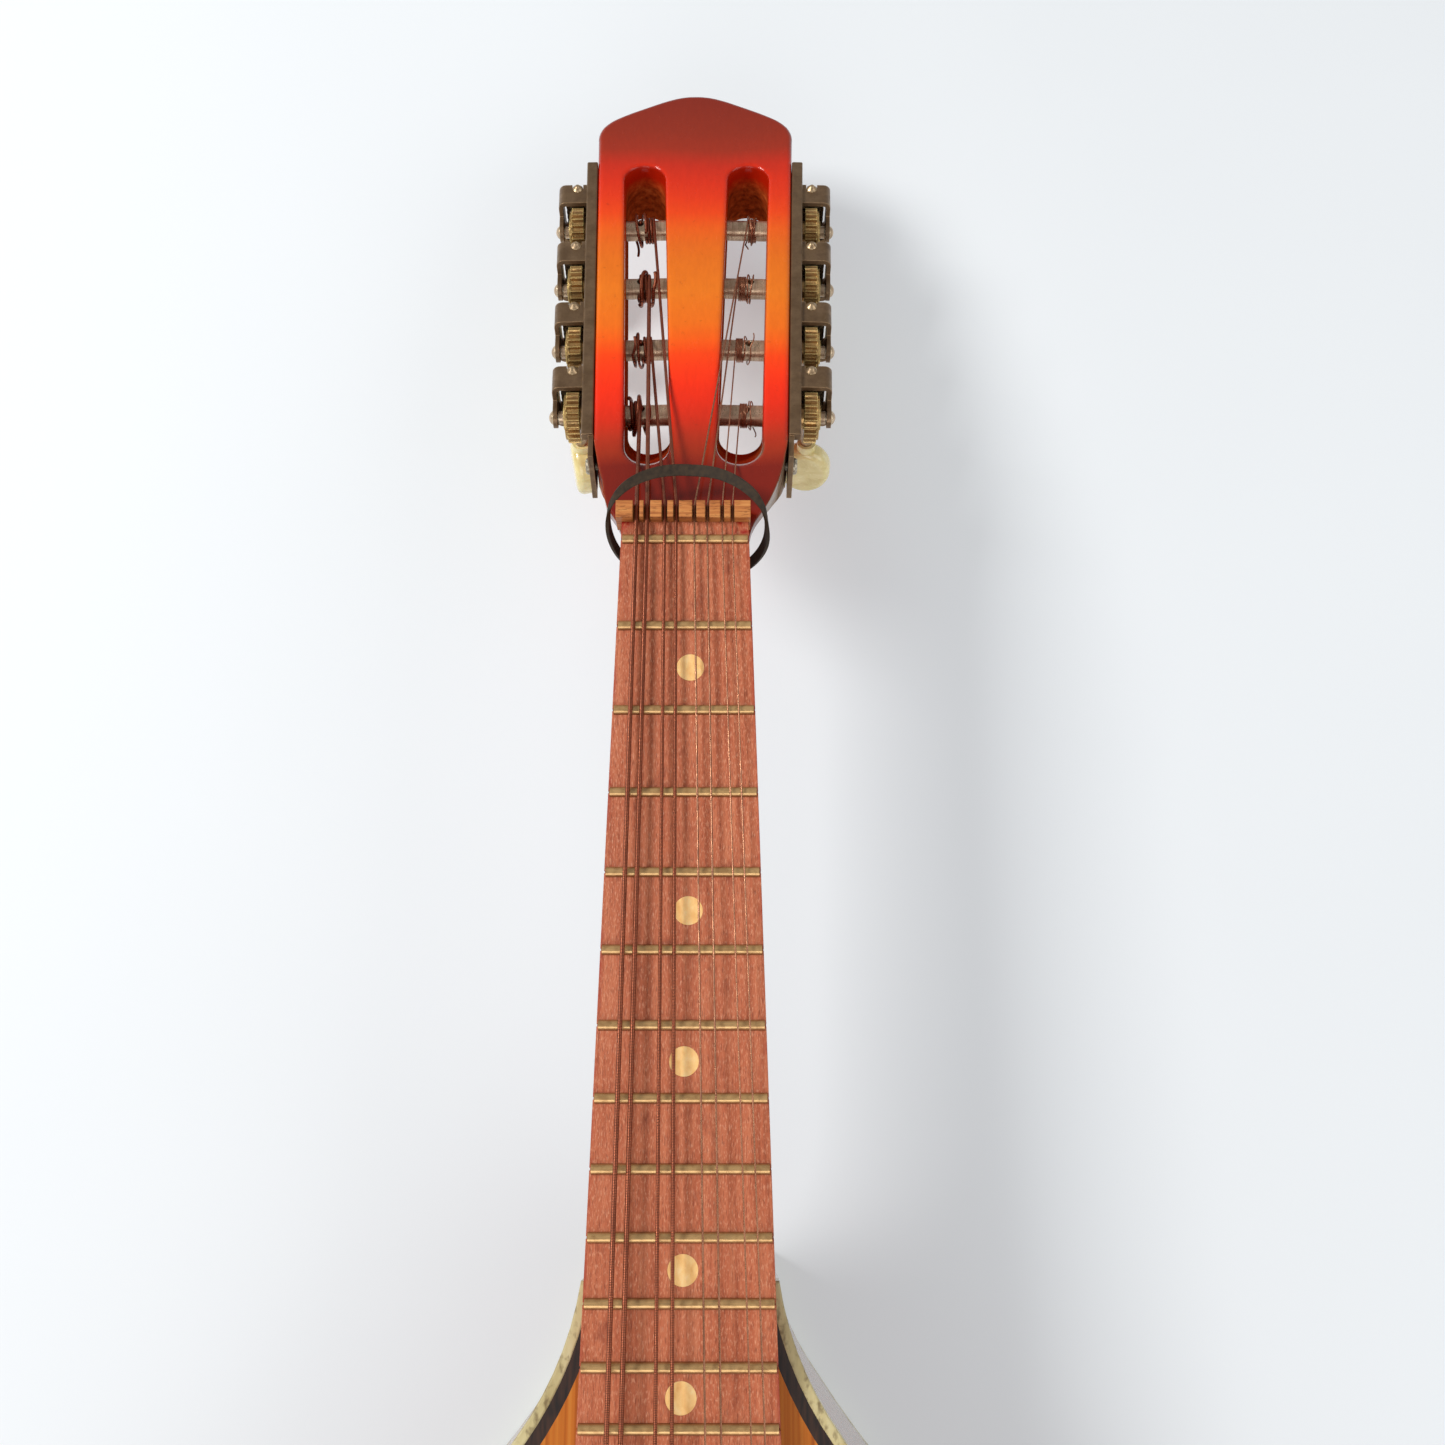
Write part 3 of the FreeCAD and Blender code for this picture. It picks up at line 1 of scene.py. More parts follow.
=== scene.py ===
# An eight-string instrument with four double courses (g, d, a, e).
# It lies on its back: +Z points out of the soundboard, X runs across, and the
# strings run along +Y from the tailpiece, over the bridge at y = 0, to a
# headstock that slopes down behind the nut.  The "left" tuners are at -X.
# Places are in metres unless a name or comment says millimetres.
import bpy
import math
from functools import cached_property
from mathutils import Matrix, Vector


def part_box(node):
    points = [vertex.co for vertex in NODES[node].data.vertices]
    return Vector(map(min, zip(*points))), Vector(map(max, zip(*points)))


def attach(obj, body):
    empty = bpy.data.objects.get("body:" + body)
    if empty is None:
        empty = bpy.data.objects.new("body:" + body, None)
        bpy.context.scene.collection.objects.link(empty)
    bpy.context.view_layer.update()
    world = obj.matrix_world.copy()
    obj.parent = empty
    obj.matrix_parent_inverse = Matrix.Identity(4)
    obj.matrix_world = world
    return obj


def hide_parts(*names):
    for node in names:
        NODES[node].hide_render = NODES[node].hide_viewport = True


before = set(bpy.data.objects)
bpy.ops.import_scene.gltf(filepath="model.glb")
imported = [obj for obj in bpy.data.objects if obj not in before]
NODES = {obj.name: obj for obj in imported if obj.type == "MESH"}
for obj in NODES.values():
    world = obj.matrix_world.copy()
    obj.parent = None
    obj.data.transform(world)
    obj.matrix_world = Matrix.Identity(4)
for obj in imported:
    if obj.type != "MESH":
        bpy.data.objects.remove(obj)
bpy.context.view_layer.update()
MM = 0.001

# --------------------------------------------------------------- places
BOARD_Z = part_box("fretboard")[1][2]
TOP_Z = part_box("soundboard")[1][2]
ZERO_Y = 0.350              # where the open strings start to sound
HEAD_Y = 0.359              # where the headstock's face plane starts
TILT = math.radians(15.0)   # slope of the headstock
HEAD_MID_X = 0.9            # mm, middle of the headstock

ACROSS = Vector((1, 0, 0))
HEAD_ALONG = Vector((0, math.cos(TILT), -math.sin(TILT)))
HEAD_OUT = Vector((0, math.sin(TILT), math.cos(TILT)))


def head_point(x, along, out):
    """Point from millimetres across, along and out of the headstock's face."""
    origin = Vector((0, HEAD_Y, TOP_Z))
    return (origin + Vector((x * MM, 0, 0)) + HEAD_ALONG * (along * MM)
            + HEAD_OUT * (out * MM))


# -------------------------------------------------------- material kit
def linear(color):
    """8-bit sRGB to linear RGBA; sockets and linear RGBA pass through."""
    if isinstance(color, bpy.types.NodeSocket) or len(color) == 4:
        return color
    parts = [v / 255.0 for v in color]
    return tuple(v / 12.92 if v <= 0.04045 else ((v + 0.055) / 1.055) ** 2.4
                 for v in parts) + (1.0,)


class Material:
    """A principled material and short calls that add nodes to it."""

    def __init__(self, name):
        self.data = bpy.data.materials.new(name)
        self.data.use_nodes = True
        self.tree = self.data.node_tree
        self.tree.nodes.clear()
        self.output = self.node("ShaderNodeOutputMaterial")
        self.surface = self.node("ShaderNodeBsdfPrincipled")
        self.put(self.output.inputs[0], self.surface.outputs[0])
        self.coords = self.node("ShaderNodeTexCoord")

    @cached_property
    def geometry(self):
        return self.node("ShaderNodeNewGeometry")

    def put(self, socket, value):
        if isinstance(value, bpy.types.NodeSocket):
            self.tree.links.new(value, socket)
        else:
            socket.default_value = value

    def node(self, kind, inputs=None, **attrs):
        made = self.tree.nodes.new(kind)
        for name, value in attrs.items():
            setattr(made, name, value)
        for key, value in (inputs or {}).items():
            self.put(made.inputs[key], value)
        return made

    def set(self, **inputs):
        """Surface inputs, with _ for each space in the name."""
        for name, value in inputs.items():
            self.put(self.surface.inputs[name.replace("_", " ")], value)

    def noise(self, freq=None, size=None, detail=3.0, rough=0.5, distort=0.0):
        """Noise by frequency per metre (one number or x, y, z), or by the
        x, y, z size of its patches in metres."""
        if size:
            freq = [1 / length for length in size]
        elif not isinstance(freq, tuple):
            freq = (freq, freq, freq)
        mapping = self.node("ShaderNodeMapping", {
            "Scale": freq, "Vector": self.coords.outputs["Object"]})
        return self.node("ShaderNodeTexNoise", {
            "Vector": mapping.outputs[0], "Scale": 1.0, "Detail": detail,
            "Roughness": rough, "Distortion": distort}).outputs["Fac"]

    def ramp(self, factor, stops):
        """Color ramp: stops are (position, color)."""
        made = self.node("ShaderNodeValToRGB", {"Fac": factor})
        elements = made.color_ramp.elements
        while len(elements) > 1:
            elements.remove(elements[-1])
        for i, (position, color) in enumerate(stops):
            stop = elements[0] if i == 0 else elements.new(position)
            stop.position = position
            stop.color = linear(color)
        return made.outputs["Color"]

    def band(self, factor, stops):
        """Grey ramp: stops are (position, value)."""
        return self.ramp(factor, [(p, (v, v, v, 1.0)) for p, v in stops])

    def math(self, operation, *values, clamp=False):
        return self.node("ShaderNodeMath", dict(enumerate(values)),
                         operation=operation, use_clamp=clamp).outputs[0]

    def plus(self, a, b):
        return self.math("ADD", a, b)

    def minus(self, a, b):
        return self.math("SUBTRACT", a, b)

    def times(self, a, b):
        return self.math("MULTIPLY", a, b)

    def size_of(self, value):
        return self.math("ABSOLUTE", value)

    def wander(self, value, noise, width):
        """value shifted by noise, over a range of the given width"""
        return self.plus(value, self.times(self.minus(noise, 0.5), width))

    def mix(self, amount, base, over, mode="MIX"):
        return self.node("ShaderNodeMix", {
            0: amount, 6: linear(base), 7: linear(over)},
            data_type="RGBA", blend_type=mode).outputs[2]

    def xyz(self, vector):
        return self.node("ShaderNodeSeparateXYZ", {0: vector}).outputs

    def position(self):
        return self.xyz(self.coords.outputs["Object"])

    def normal(self):
        return self.xyz(self.geometry.outputs["Normal"])

    def span(self, value, zero, one):
        """0 where value is at zero, 1 where it is at one, clamped"""
        return self.node("ShaderNodeMapRange", {
            "From Min": zero, "From Max": one, "Value": value},
            clamp=True).outputs[0]

    def rounded_normal(self, radius, samples):
        return self.node("ShaderNodeBevel", {"Radius": radius},
                         samples=samples).outputs[0]

    def bump(self, height, strength, distance, edge=0.0):
        """Surface relief; edge is the radius that softens the edges."""
        made = self.node("ShaderNodeBump", {
            "Strength": strength, "Distance": distance, "Height": height})
        if edge > 0:
            self.put(made.inputs["Normal"], self.rounded_normal(edge, samples=4))
        self.put(self.surface.inputs["Normal"], made.outputs[0])

    def worn_edges(self, radius):
        """Above 0 near edges, 0 on flat faces."""
        dot = self.node("ShaderNodeVectorMath", {
            0: self.rounded_normal(radius, samples=6),
            1: self.geometry.outputs["Normal"]}, operation="DOT_PRODUCT")
        return self.math("SUBTRACT", 1.0, dot.outputs["Value"], clamp=True)


def shade(mat, *nodes):
    for node in nodes:
        piece = NODES[node]
        if len(piece.data.materials) == 0:
            piece.data.materials.append(mat.data)
        for slot in piece.material_slots:
            slot.material = mat.data


# ------------------------------------------------------- body materials
def spruce_top():
    """Straight pale and dark lines of winter growth."""
    mat = Material("spruce_top")
    lines = mat.noise(size=(0.0011, 0.16, 0.01), detail=2.0, rough=0.55, distort=0.15)
    fine = mat.noise(size=(0.00035, 0.02, 0.004))
    tone = mat.noise(freq=(12, 5, 5), detail=2.0)
    color = mat.ramp(lines, [(0.32, (146, 74, 20)), (0.44, (190, 108, 34)),
                             (0.60, (206, 128, 46)), (0.75, (216, 144, 60))])
    # fine fibres, then broad patches
    color = mat.mix(mat.times(fine, 0.35), color, (140, 68, 20))
    color = mat.mix(mat.times(tone, 0.30), color, (186, 96, 28))
    mat.set(Base_Color=color, Roughness=mat.band(fine, [(0.2, 0.26), (0.8, 0.40)]),
            Specular_IOR_Level=0.25, Coat_Weight=0.25, Coat_Roughness=0.16)
    mat.bump(lines, strength=0.18, distance=0.0001)
    return mat


def veneer(name, grain_size):
    """Dark reddish wood of the back and ribs."""
    mat = Material(name)
    grain = mat.noise(size=grain_size, detail=4.0, rough=0.6, distort=0.4)
    pores = mat.noise(size=(0.0006, 0.006, 0.0006), detail=2.0)
    color = mat.ramp(grain, [(0.3, (72, 26, 12)), (0.5, (122, 48, 20)),
                             (0.7, (152, 70, 32))])
    color = mat.mix(mat.band(pores, [(0.30, 0.6), (0.42, 0.0)]), color, (46, 18, 10))
    mat.set(Base_Color=color, Roughness=mat.band(pores, [(0.3, 0.32), (0.7, 0.2)]),
            Coat_Weight=0.7, Coat_Roughness=0.1)
    mat.bump(pores, strength=0.12, distance=0.00008, edge=0.0006)
    return mat


def inner_softwood():
    mat = Material("inner_softwood")
    grain = mat.noise(size=(0.004, 0.004, 0.03), detail=4.0)
    mat.set(Base_Color=mat.ramp(grain, [(0.3, (170, 128, 78)), (0.7, (214, 178, 126))]),
            Roughness=0.7)
    mat.bump(grain, strength=0.2, distance=0.0001)
    return mat


def cream_binding():
    mat = Material("cream_binding")
    clouds = mat.noise(freq=(220, 60, 220), detail=4.0, rough=0.6)
    dirt = mat.noise(freq=(900, 500, 900))
    color = mat.ramp(clouds, [(0.3, (164, 146, 98)), (0.55, (196, 182, 134)),
                              (0.8, (212, 202, 160))])
    color = mat.mix(mat.band(dirt, [(0.52, 0.0), (0.70, 0.7)]), color, (96, 74, 44))
    mat.set(Base_Color=color, Roughness=0.34, Coat_Weight=0.3,
            Subsurface_Weight=0.08, Subsurface_Radius=(0.002, 0.0015, 0.001))
    mat.bump(dirt, strength=0.08, distance=0.0001, edge=0.0007)
    return mat


def dark_purfling():
    mat = Material("dark_purfling")
    grain = mat.noise(freq=(1500, 200, 1500))
    mat.set(Base_Color=mat.ramp(grain, [(0.35, (26, 14, 8)), (0.65, (58, 34, 20))]),
            Roughness=0.35, Coat_Weight=0.5, Coat_Roughness=0.15)
    mat.bump(grain, strength=0.15, distance=0.0001)
    return mat


shade(spruce_top(), "soundboard")
shade(veneer("back_veneer", grain_size=(0.002, 0.07, 0.002)), "back_plate")
shade(veneer("rib_veneer", grain_size=(0.006, 0.05, 0.002)), "rib_left", "rib_right")
shade(inner_softwood(), "linings", "neck_block", "tail_block", "braces")
shade(cream_binding(), "top_binding", "back_binding")
shade(dark_purfling(), "top_purfling")

# ----------------------------------------------------- neck, headstock
# Lacquer shading: millimetres along the headstock, color
SPRAY = [(12, (126, 30, 16)), (16, (158, 46, 20)), (21, (182, 48, 22)),
         (26, (212, 44, 17)), (31, (232, 44, 14)), (36, (243, 47, 10)),
         (41, (249, 56, 9)), (46, (246, 68, 7)), (51, (243, 95, 14)),
         (56, (236, 110, 18)), (67, (232, 119, 21)), (78, (226, 111, 19)),
         (84, (226, 103, 18)), (90, (232, 92, 15)), (96, (233, 68, 9)),
         (102, (224, 53, 9)), (108, (215, 44, 9)), (114, (196, 40, 14)),
         (120, (158, 43, 18)), (127, (144, 41, 17)), (140, (132, 35, 14))]
SPRAY_START = 12    # mm, where the ramp starts
SPRAY_LENGTH = 130  # mm, what the whole ramp covers


def head_axes(mat):
    """Sockets in metres: x, along the headstock, out of its face."""
    place = mat.position()
    y = mat.minus(place[1], HEAD_Y)
    z = mat.minus(place[2], TOP_Z)
    along = mat.minus(mat.times(y, math.cos(TILT)), mat.times(z, math.sin(TILT)))
    out = mat.plus(mat.times(y, math.sin(TILT)), mat.times(z, math.cos(TILT)))
    return place[0], along, out


def sprayed_lacquer(mat, along, speck):
    """The headstock's shading, with faint grain and dark specks."""
    wobble = mat.noise(freq=(26, 14, 26), detail=2.0)
    station = mat.span(mat.wander(along, wobble, width=0.006), zero=SPRAY_START * MM,
                       one=(SPRAY_START + SPRAY_LENGTH) * MM)
    color = mat.ramp(station, [((place - SPRAY_START) / SPRAY_LENGTH, shade_color)
                               for place, shade_color in SPRAY])
    grain = mat.noise(size=(0.0009, 0.03, 0.0009), rough=0.6, distort=0.2)
    color = mat.mix(mat.band(grain, [(0.35, 0.0), (0.70, 0.10)]), color,
                    (150, 50, 14), "MULTIPLY")
    return mat.mix(mat.band(speck, [(0.62, 0.0), (0.74, 0.35)]), color, (120, 34, 12))


def rubbed_side(mat, color, x, along):
    """Striped bare wood on the +X side where the head narrows to the neck."""
    stripe = mat.ramp(mat.noise(size=(0.02, 0.02, 0.0007)),
                      [(0.35, (66, 44, 30)), (0.5, (140, 112, 84)),
                       (0.65, (98, 70, 48))])
    sideways = mat.span(mat.size_of(mat.normal()[0]), zero=0.35, one=0.6)
    stretch = mat.times(mat.span(along, zero=-0.004, one=0.001),
                        mat.span(along, zero=0.022, one=0.016))
    rubbed = mat.times(mat.times(sideways, stretch),
                       mat.span(x, zero=0.0150, one=0.0165))
    return mat.mix(rubbed, color, stripe)


def shaded_lacquer():
    """Shaded gloss lacquer over straight-grained wood."""
    mat = Material("shaded_lacquer")
    x, along, out = head_axes(mat)
    speck = mat.noise(freq=420, detail=5.0, rough=0.7)
    sprayed = sprayed_lacquer(mat, along, speck)

    # sides and slot walls: darker, raw towards the depth
    facing = mat.size_of(mat.plus(mat.times(mat.normal()[1], math.sin(TILT)),
                                  mat.times(mat.normal()[2], math.cos(TILT))))
    steep = mat.span(facing, zero=0.80, one=0.45)
    raw = mat.ramp(mat.noise(size=(0.0016, 0.02, 0.0012), detail=4.0, rough=0.6),
                   [(0.3, (104, 34, 12)), (0.55, (160, 66, 26)),
                    (0.75, (184, 92, 44))])
    depth = mat.wander(out, speck, width=0.004)
    wall = mat.times(steep, mat.span(depth, zero=-0.0035, one=-0.0075))
    color = mat.mix(mat.times(steep, 0.55), sprayed, (150, 44, 12), "MULTIPLY")
    on_head = mat.span(along, zero=0.004, one=0.012)
    color = mat.mix(mat.times(wall, on_head), color, raw)
    color = rubbed_side(mat, color, x, along)

    shaft = mat.ramp(mat.noise(size=(0.003, 0.06, 0.003)),
                     [(0.3, (96, 26, 12)), (0.7, (146, 44, 18))])
    color = mat.mix(mat.span(along, zero=-0.003, one=-0.012), color, shaft)
    wear = mat.band(mat.worn_edges(0.0010), [(0.06, 0.0), (0.30, 0.55)])
    color = mat.mix(mat.times(wear, mat.noise(freq=500)), color, (206, 128, 70))

    # gloss: smeared, duller on the walls, none below the face near the middle
    smear = mat.noise(freq=(160, 60, 160), detail=4.0, rough=0.6)
    rough = mat.plus(mat.band(smear, [(0.3, 0.16), (0.7, 0.32)]),
                     mat.times(wall, 0.35))
    off_middle = mat.size_of(mat.minus(x, HEAD_MID_X * MM))
    inside = mat.times(mat.span(off_middle, zero=0.0212, one=0.0198),
                       mat.span(along, zero=0.006, one=0.010))
    sunken = mat.times(mat.span(out, zero=-0.0012, one=-0.0022), inside)
    coat, specular = 0.42, 0.12
    mat.set(Base_Color=color, Roughness=rough, Coat_Roughness=0.09,
            Coat_Weight=mat.minus(coat, mat.times(sunken, coat)),
            Specular_IOR_Level=mat.minus(specular, mat.times(sunken, specular)))
    dust = mat.noise(freq=1800, detail=4.0, rough=0.7)
    ripple = mat.noise(freq=90, detail=2.0)
    relief = mat.plus(mat.times(dust, 0.12), mat.times(ripple, 0.6))
    mat.bump(relief, strength=0.10, distance=0.0002, edge=0.0012)
    return mat


shade(shaded_lacquer(), "neck")

# ------------------------------------------------- fretboard and bridge
BOARD_HALF = 0.01381    # half width that the lacquer follows at ZERO_Y
BOARD_FLARE = 0.028     # growth of that half width per metre towards the body


def board_lacquer(mat):
    """Where red lacquer covers the board: its edges, sides and end corners."""
    place = mat.position()
    patches = mat.noise(freq=(150, 110, 150), detail=4.0, rough=0.6)
    half = mat.plus(BOARD_HALF, mat.times(mat.minus(ZERO_Y, place[1]), BOARD_FLARE))
    from_edge = mat.minus(half, mat.size_of(place[0]))
    edges = mat.times(mat.span(from_edge, zero=0.0009, one=0.0001),
                      mat.band(patches, [(0.42, 0.0), (0.60, 0.6)]))
    sideways = mat.size_of(mat.normal()[0])
    sides = mat.times(0.7, mat.span(sideways, zero=0.5, one=0.8))
    corners = mat.times(mat.span(place[1], zero=0.3510, one=0.3516),
                        mat.span(from_edge, zero=0.0050, one=0.0034))
    corners = mat.times(corners, mat.band(patches, [(0.46, 0.0), (0.54, 1.0)]))
    return mat.math("MAXIMUM", mat.math("MAXIMUM", edges, sides), corners)


def board_stain():
    """Open-pored reddish board with red lacquer on its edges."""
    mat = Material("board_stain")
    streak = mat.noise(size=(0.0011, 0.030, 0.001), detail=4.0, rough=0.6, distort=0.2)
    pores = mat.noise(size=(0.00022, 0.0022, 0.0004), detail=2.0, rough=0.6)
    worn = mat.noise(freq=(90, 24, 60))
    flecks_and_painted_glint = mat.noise(size=(0.00030, 0.0011, 0.0004), rough=0.65, distort=0.3)
    stains = mat.noise(freq=(260, 120, 260), detail=4.0, rough=0.6)
    color = mat.ramp(streak, [(0.28, (146, 68, 40)), (0.45, (174, 90, 58)),
                              (0.60, (188, 106, 72)), (0.75, (200, 120, 84))])
    color = mat.mix(mat.times(worn, 0.40), color, (194, 114, 80))
    # painted highlight: glossy flecks are painted lighter as glints; the same flecks also
    # get lower roughness and relief
    color = mat.mix(mat.band(flecks_and_painted_glint, [(0.52, 0.0), (0.68, 0.6)]), color, (228, 166, 132))
    color = mat.mix(mat.band(pores, [(0.35, 0.5), (0.43, 0.0)]), color, (104, 40, 24))
    color = mat.mix(mat.band(stains, [(0.58, 0.0), (0.74, 0.5)]), color, (110, 40, 26))
    lacquer = board_lacquer(mat)
    color = mat.mix(lacquer, color, (150, 30, 18))
    # lacquer is smoother than the bare board
    rough = mat.minus(mat.band(flecks_and_painted_glint, [(0.35, 0.58), (0.70, 0.30)]),
                      mat.times(lacquer, 0.22))
    mat.set(Base_Color=color, Roughness=rough, Specular_IOR_Level=0.28,
            Coat_Weight=mat.times(lacquer, 0.5), Coat_Roughness=0.1)
    relief = mat.plus(mat.plus(pores, flecks_and_painted_glint), mat.times(streak, 0.4))
    mat.bump(relief, strength=0.55, distance=0.00014, edge=0.0003)
    return mat


def fret_bronze():
    """Bronze with a painted highlight on the crown, darker towards the foot."""
    mat = Material("fret_bronze")
    scratches = mat.noise(size=(0.004, 0.0001, 0.0001))
    blots = mat.noise(freq=700)
    painted_crown_highlight = mat.span(mat.position()[2], zero=BOARD_Z + 0.0002, one=BOARD_Z + 0.0010)
    # painted highlight: the crown is painted lighter than the foot
    color = mat.mix(painted_crown_highlight, (128, 88, 50), (206, 166, 112))
    color = mat.mix(mat.band(blots, [(0.44, 0.0), (0.66, 0.5)]), color, (146, 102, 60))
    mat.set(Base_Color=color, Metallic=0.6,
            Roughness=mat.band(scratches, [(0.3, 0.16), (0.7, 0.36)]))
    mat.bump(scratches, strength=0.15, distance=0.00005)
    return mat


def cream_dot():
    mat = Material("cream_dot")
    clouds = mat.noise(freq=(500, 300, 500), detail=4.0, rough=0.6)
    color = mat.ramp(clouds, [(0.3, (228, 170, 98)), (0.55, (246, 200, 132)),
                              (0.8, (252, 222, 168))])
    mat.set(Base_Color=color, Roughness=0.28, Coat_Weight=0.4,
            Subsurface_Weight=0.15, Subsurface_Radius=(0.002, 0.0012, 0.0006))
    mat.bump(clouds, strength=0.1, distance=0.0001)
    return mat


def nut_hardwood():
    mat = Material("nut_hardwood")
    grain = mat.noise(size=(0.012, 0.0008, 0.0008), detail=4.0, rough=0.6, distort=0.3)
    pores = mat.noise(size=(0.0015, 0.0003, 0.0003), detail=2.0)
    color = mat.ramp(grain, [(0.3, (140, 76, 36)), (0.5, (182, 112, 58)),
                             (0.7, (206, 142, 80))])
    color = mat.mix(mat.band(pores, [(0.33, 0.6), (0.42, 0.0)]), color, (104, 58, 22))
    mat.set(Base_Color=color, Roughness=0.48, Coat_Weight=0.1, Specular_IOR_Level=0.3)
    mat.bump(pores, strength=0.3, distance=0.0001, edge=0.0004)
    return mat


def bridge_dark_wood():
    mat = Material("bridge_dark_wood")
    grain = mat.noise(size=(0.02, 0.001, 0.001), detail=4.0)
    mat.set(Base_Color=mat.ramp(grain, [(0.3, (24, 12, 8)), (0.7, (62, 34, 22))]),
            Roughness=0.32, Coat_Weight=0.3)
    mat.bump(grain, strength=0.2, distance=0.0001, edge=0.0008)
    return mat


def saddle_bone():
    mat = Material("saddle_bone")
    clouds = mat.noise(freq=(300, 700, 300), detail=4.0)
    mat.set(Base_Color=mat.ramp(clouds, [(0.3, (216, 204, 172)), (0.7, (240, 232, 206))]),
            Roughness=0.3, Subsurface_Weight=0.1,
            Subsurface_Radius=(0.002, 0.0015, 0.001))
    mat.bump(clouds, strength=0.1, distance=0.0001, edge=0.0004)
    return mat


shade(board_stain(), "fretboard")
shade(fret_bronze(), "frets")
shade(cream_dot(), "fret_dots")
shade(nut_hardwood(), "nut")
shade(bridge_dark_wood(), "bridge")
shade(saddle_bone(), "bridge_saddle")


# ------------------------------------------------------ tuners, fittings
def metal(name, dark, light, tarnish, rough, dirt, edge=0.0003,
          brush=(0.006, 0.006, 0.0003)):
    """Brushed metal with tarnished patches and bright worn edges.
    rough is (lowest, highest), dirt the tarnish strength, brush the streak size."""
    mat = Material(name)
    streaks = mat.noise(size=brush, rough=0.6)
    blots = mat.noise(freq=420, detail=5.0, rough=0.65)
    fine = mat.noise(freq=2600)
    color = mat.ramp(streaks, [(0.3, dark), (0.7, light)])
    stain = mat.times(mat.band(blots, [(0.42, 0.0), (0.66, 1.0)]), dirt)
    color = mat.mix(stain, color, tarnish)
    wear = mat.band(mat.worn_edges(0.0005), [(0.05, 0.0), (0.35, 0.7)])
    bright = tuple(min(255, int(part * 1.40)) for part in light)
    color = mat.mix(wear, color, bright)
    # tarnish is less metallic and rougher
    mat.set(Base_Color=color, Metallic=mat.minus(0.72, mat.times(stain, 0.5)),
            Roughness=mat.plus(mat.band(fine, [(0.3, rough[0]), (0.7, rough[1])]),
                               mat.times(stain, 0.25)))
    mat.bump(mat.plus(streaks, mat.times(fine, 0.5)), strength=0.12,
             distance=0.00005, edge=edge)
    return mat


def ivory_key():
    mat = Material("ivory_key")
    clouds = mat.noise(freq=(160, 160, 420), detail=4.0, rough=0.6, distort=0.6)
    fine = mat.noise(freq=1500)
    color = mat.ramp(clouds, [(0.3, (204, 184, 120)), (0.5, (222, 206, 144)),
                              (0.7, (234, 220, 164))])
    mat.set(Base_Color=color, Roughness=mat.band(fine, [(0.3, 0.16), (0.7, 0.30)]),
            Coat_Weight=0.5, Coat_Roughness=0.08, Subsurface_Weight=0.25,
            Subsurface_Radius=(0.004, 0.003, 0.0015))
    mat.bump(fine, strength=0.05, distance=0.00005)
    return mat


def olive_elastic():
    mat = Material("olive_elastic")
    grain = mat.noise(freq=900, detail=4.0, rough=0.6)
    mat.set(Base_Color=mat.ramp(grain, [(0.3, (34, 24, 14)), (0.7, (62, 48, 32))]),
            Roughness=mat.band(grain, [(0.3, 0.5), (0.7, 0.75)]),
            Specular_IOR_Level=0.3)
    mat.bump(grain, strength=0.25, distance=0.0001, edge=0.0003)
    return mat


shade(metal("tarnished_nickel", dark=(112, 88, 62), light=(138, 112, 84),
            tarnish=(74, 52, 32), rough=(0.26, 0.42), dirt=0.6,
            brush=(0.004, 0.004, 0.004)),
      "tuner_plate_left", "tuner_plate_right")
shade(metal("polished_nickel", dark=(176, 172, 164), light=(222, 218, 210),
            tarnish=(120, 104, 80), rough=(0.10, 0.22), dirt=0.25, edge=0.0005),
      "tailpiece")
shade(metal("screw_plating", dark=(140, 130, 112), light=(196, 186, 166),
            tarnish=(80, 62, 40), rough=(0.2, 0.4), dirt=0.6),
      "tuner_screws", "tailpiece_screws")
TUNER_PARTS = {
    "post": metal("roller_nickel", dark=(172, 146, 118), light=(216, 192, 162),
                  tarnish=(114, 84, 56), rough=(0.20, 0.38), dirt=0.4,
                  brush=(0.0004, 0.005, 0.005)),
    "gear": metal("gear_brass", dark=(150, 108, 62), light=(214, 172, 112),
                  tarnish=(78, 50, 26), rough=(0.18, 0.34), dirt=0.6),
    "worm": metal("worm_plating", dark=(140, 114, 84), light=(202, 176, 140),
                  tarnish=(70, 48, 30), rough=(0.20, 0.36), dirt=0.5),
    "knob": ivory_key(),
}
for side in "lr":
    for number in (1, 2, 3, 4):
        for part, mat in TUNER_PARTS.items():
            shade(mat, "tuner_%s%d_%s" % (side, number, part))
shade(olive_elastic(), "rubber_band")

# --------------------------------------------------------------- smooth
for name, piece in NODES.items():
    for polygon in piece.data.polygons:
        polygon.use_smooth = True
    sharp = 20 if name.endswith("_gear") else 32
    piece.data.set_sharp_from_angle(angle=math.radians(sharp))

# -------------------------------------------------------------- strings
# mm: course, radius, x at ZERO_Y, x at the bridge, roller side and number
# (1 is nearest the nut), x of the coil on the roller
STRINGS = [("g", 0.48, -10.5, -15.3, "l", 1, -11.3),
           ("g", 0.48, -8.2, -12.4, "l", 3, -10.2),
           ("d", 0.36, -4.4, -3.8, "l", 2, -9.3),
           ("d", 0.36, -1.9, -0.3, "l", 4, -9.6),
           ("a", 0.20, 2.0, 7.8, "r", 4, 14.6),
           ("a", 0.20, 4.8, 10.8, "r", 3, 12.0),
           ("e", 0.16, 8.0, 18.4, "r", 2, 11.4),
           ("e", 0.16, 10.2, 21.2, "r", 1, 12.2)]
# per string: slack turns, drift along the roller (mm), wobble (mm),
# start angle (degrees), spring of the cut end (mm)
SLACK = [(1.7, 4.2, 0.45, 40, 1.7), (1.3, 3.6, 0.10, 200, 1.2),
         (1.5, -2.4, 0.35, 120, 1.5), (1.6, -3.0, 0.40, 300, 2.2),
         (1.4, -2.6, 0.30, 60, 1.6), (1.8, 1.6, 0.25, 170, 0.8),
         (1.2, 1.8, 0.25, 260, 1.0), (1.6, 1.4, 0.30, 330, 1.4)]

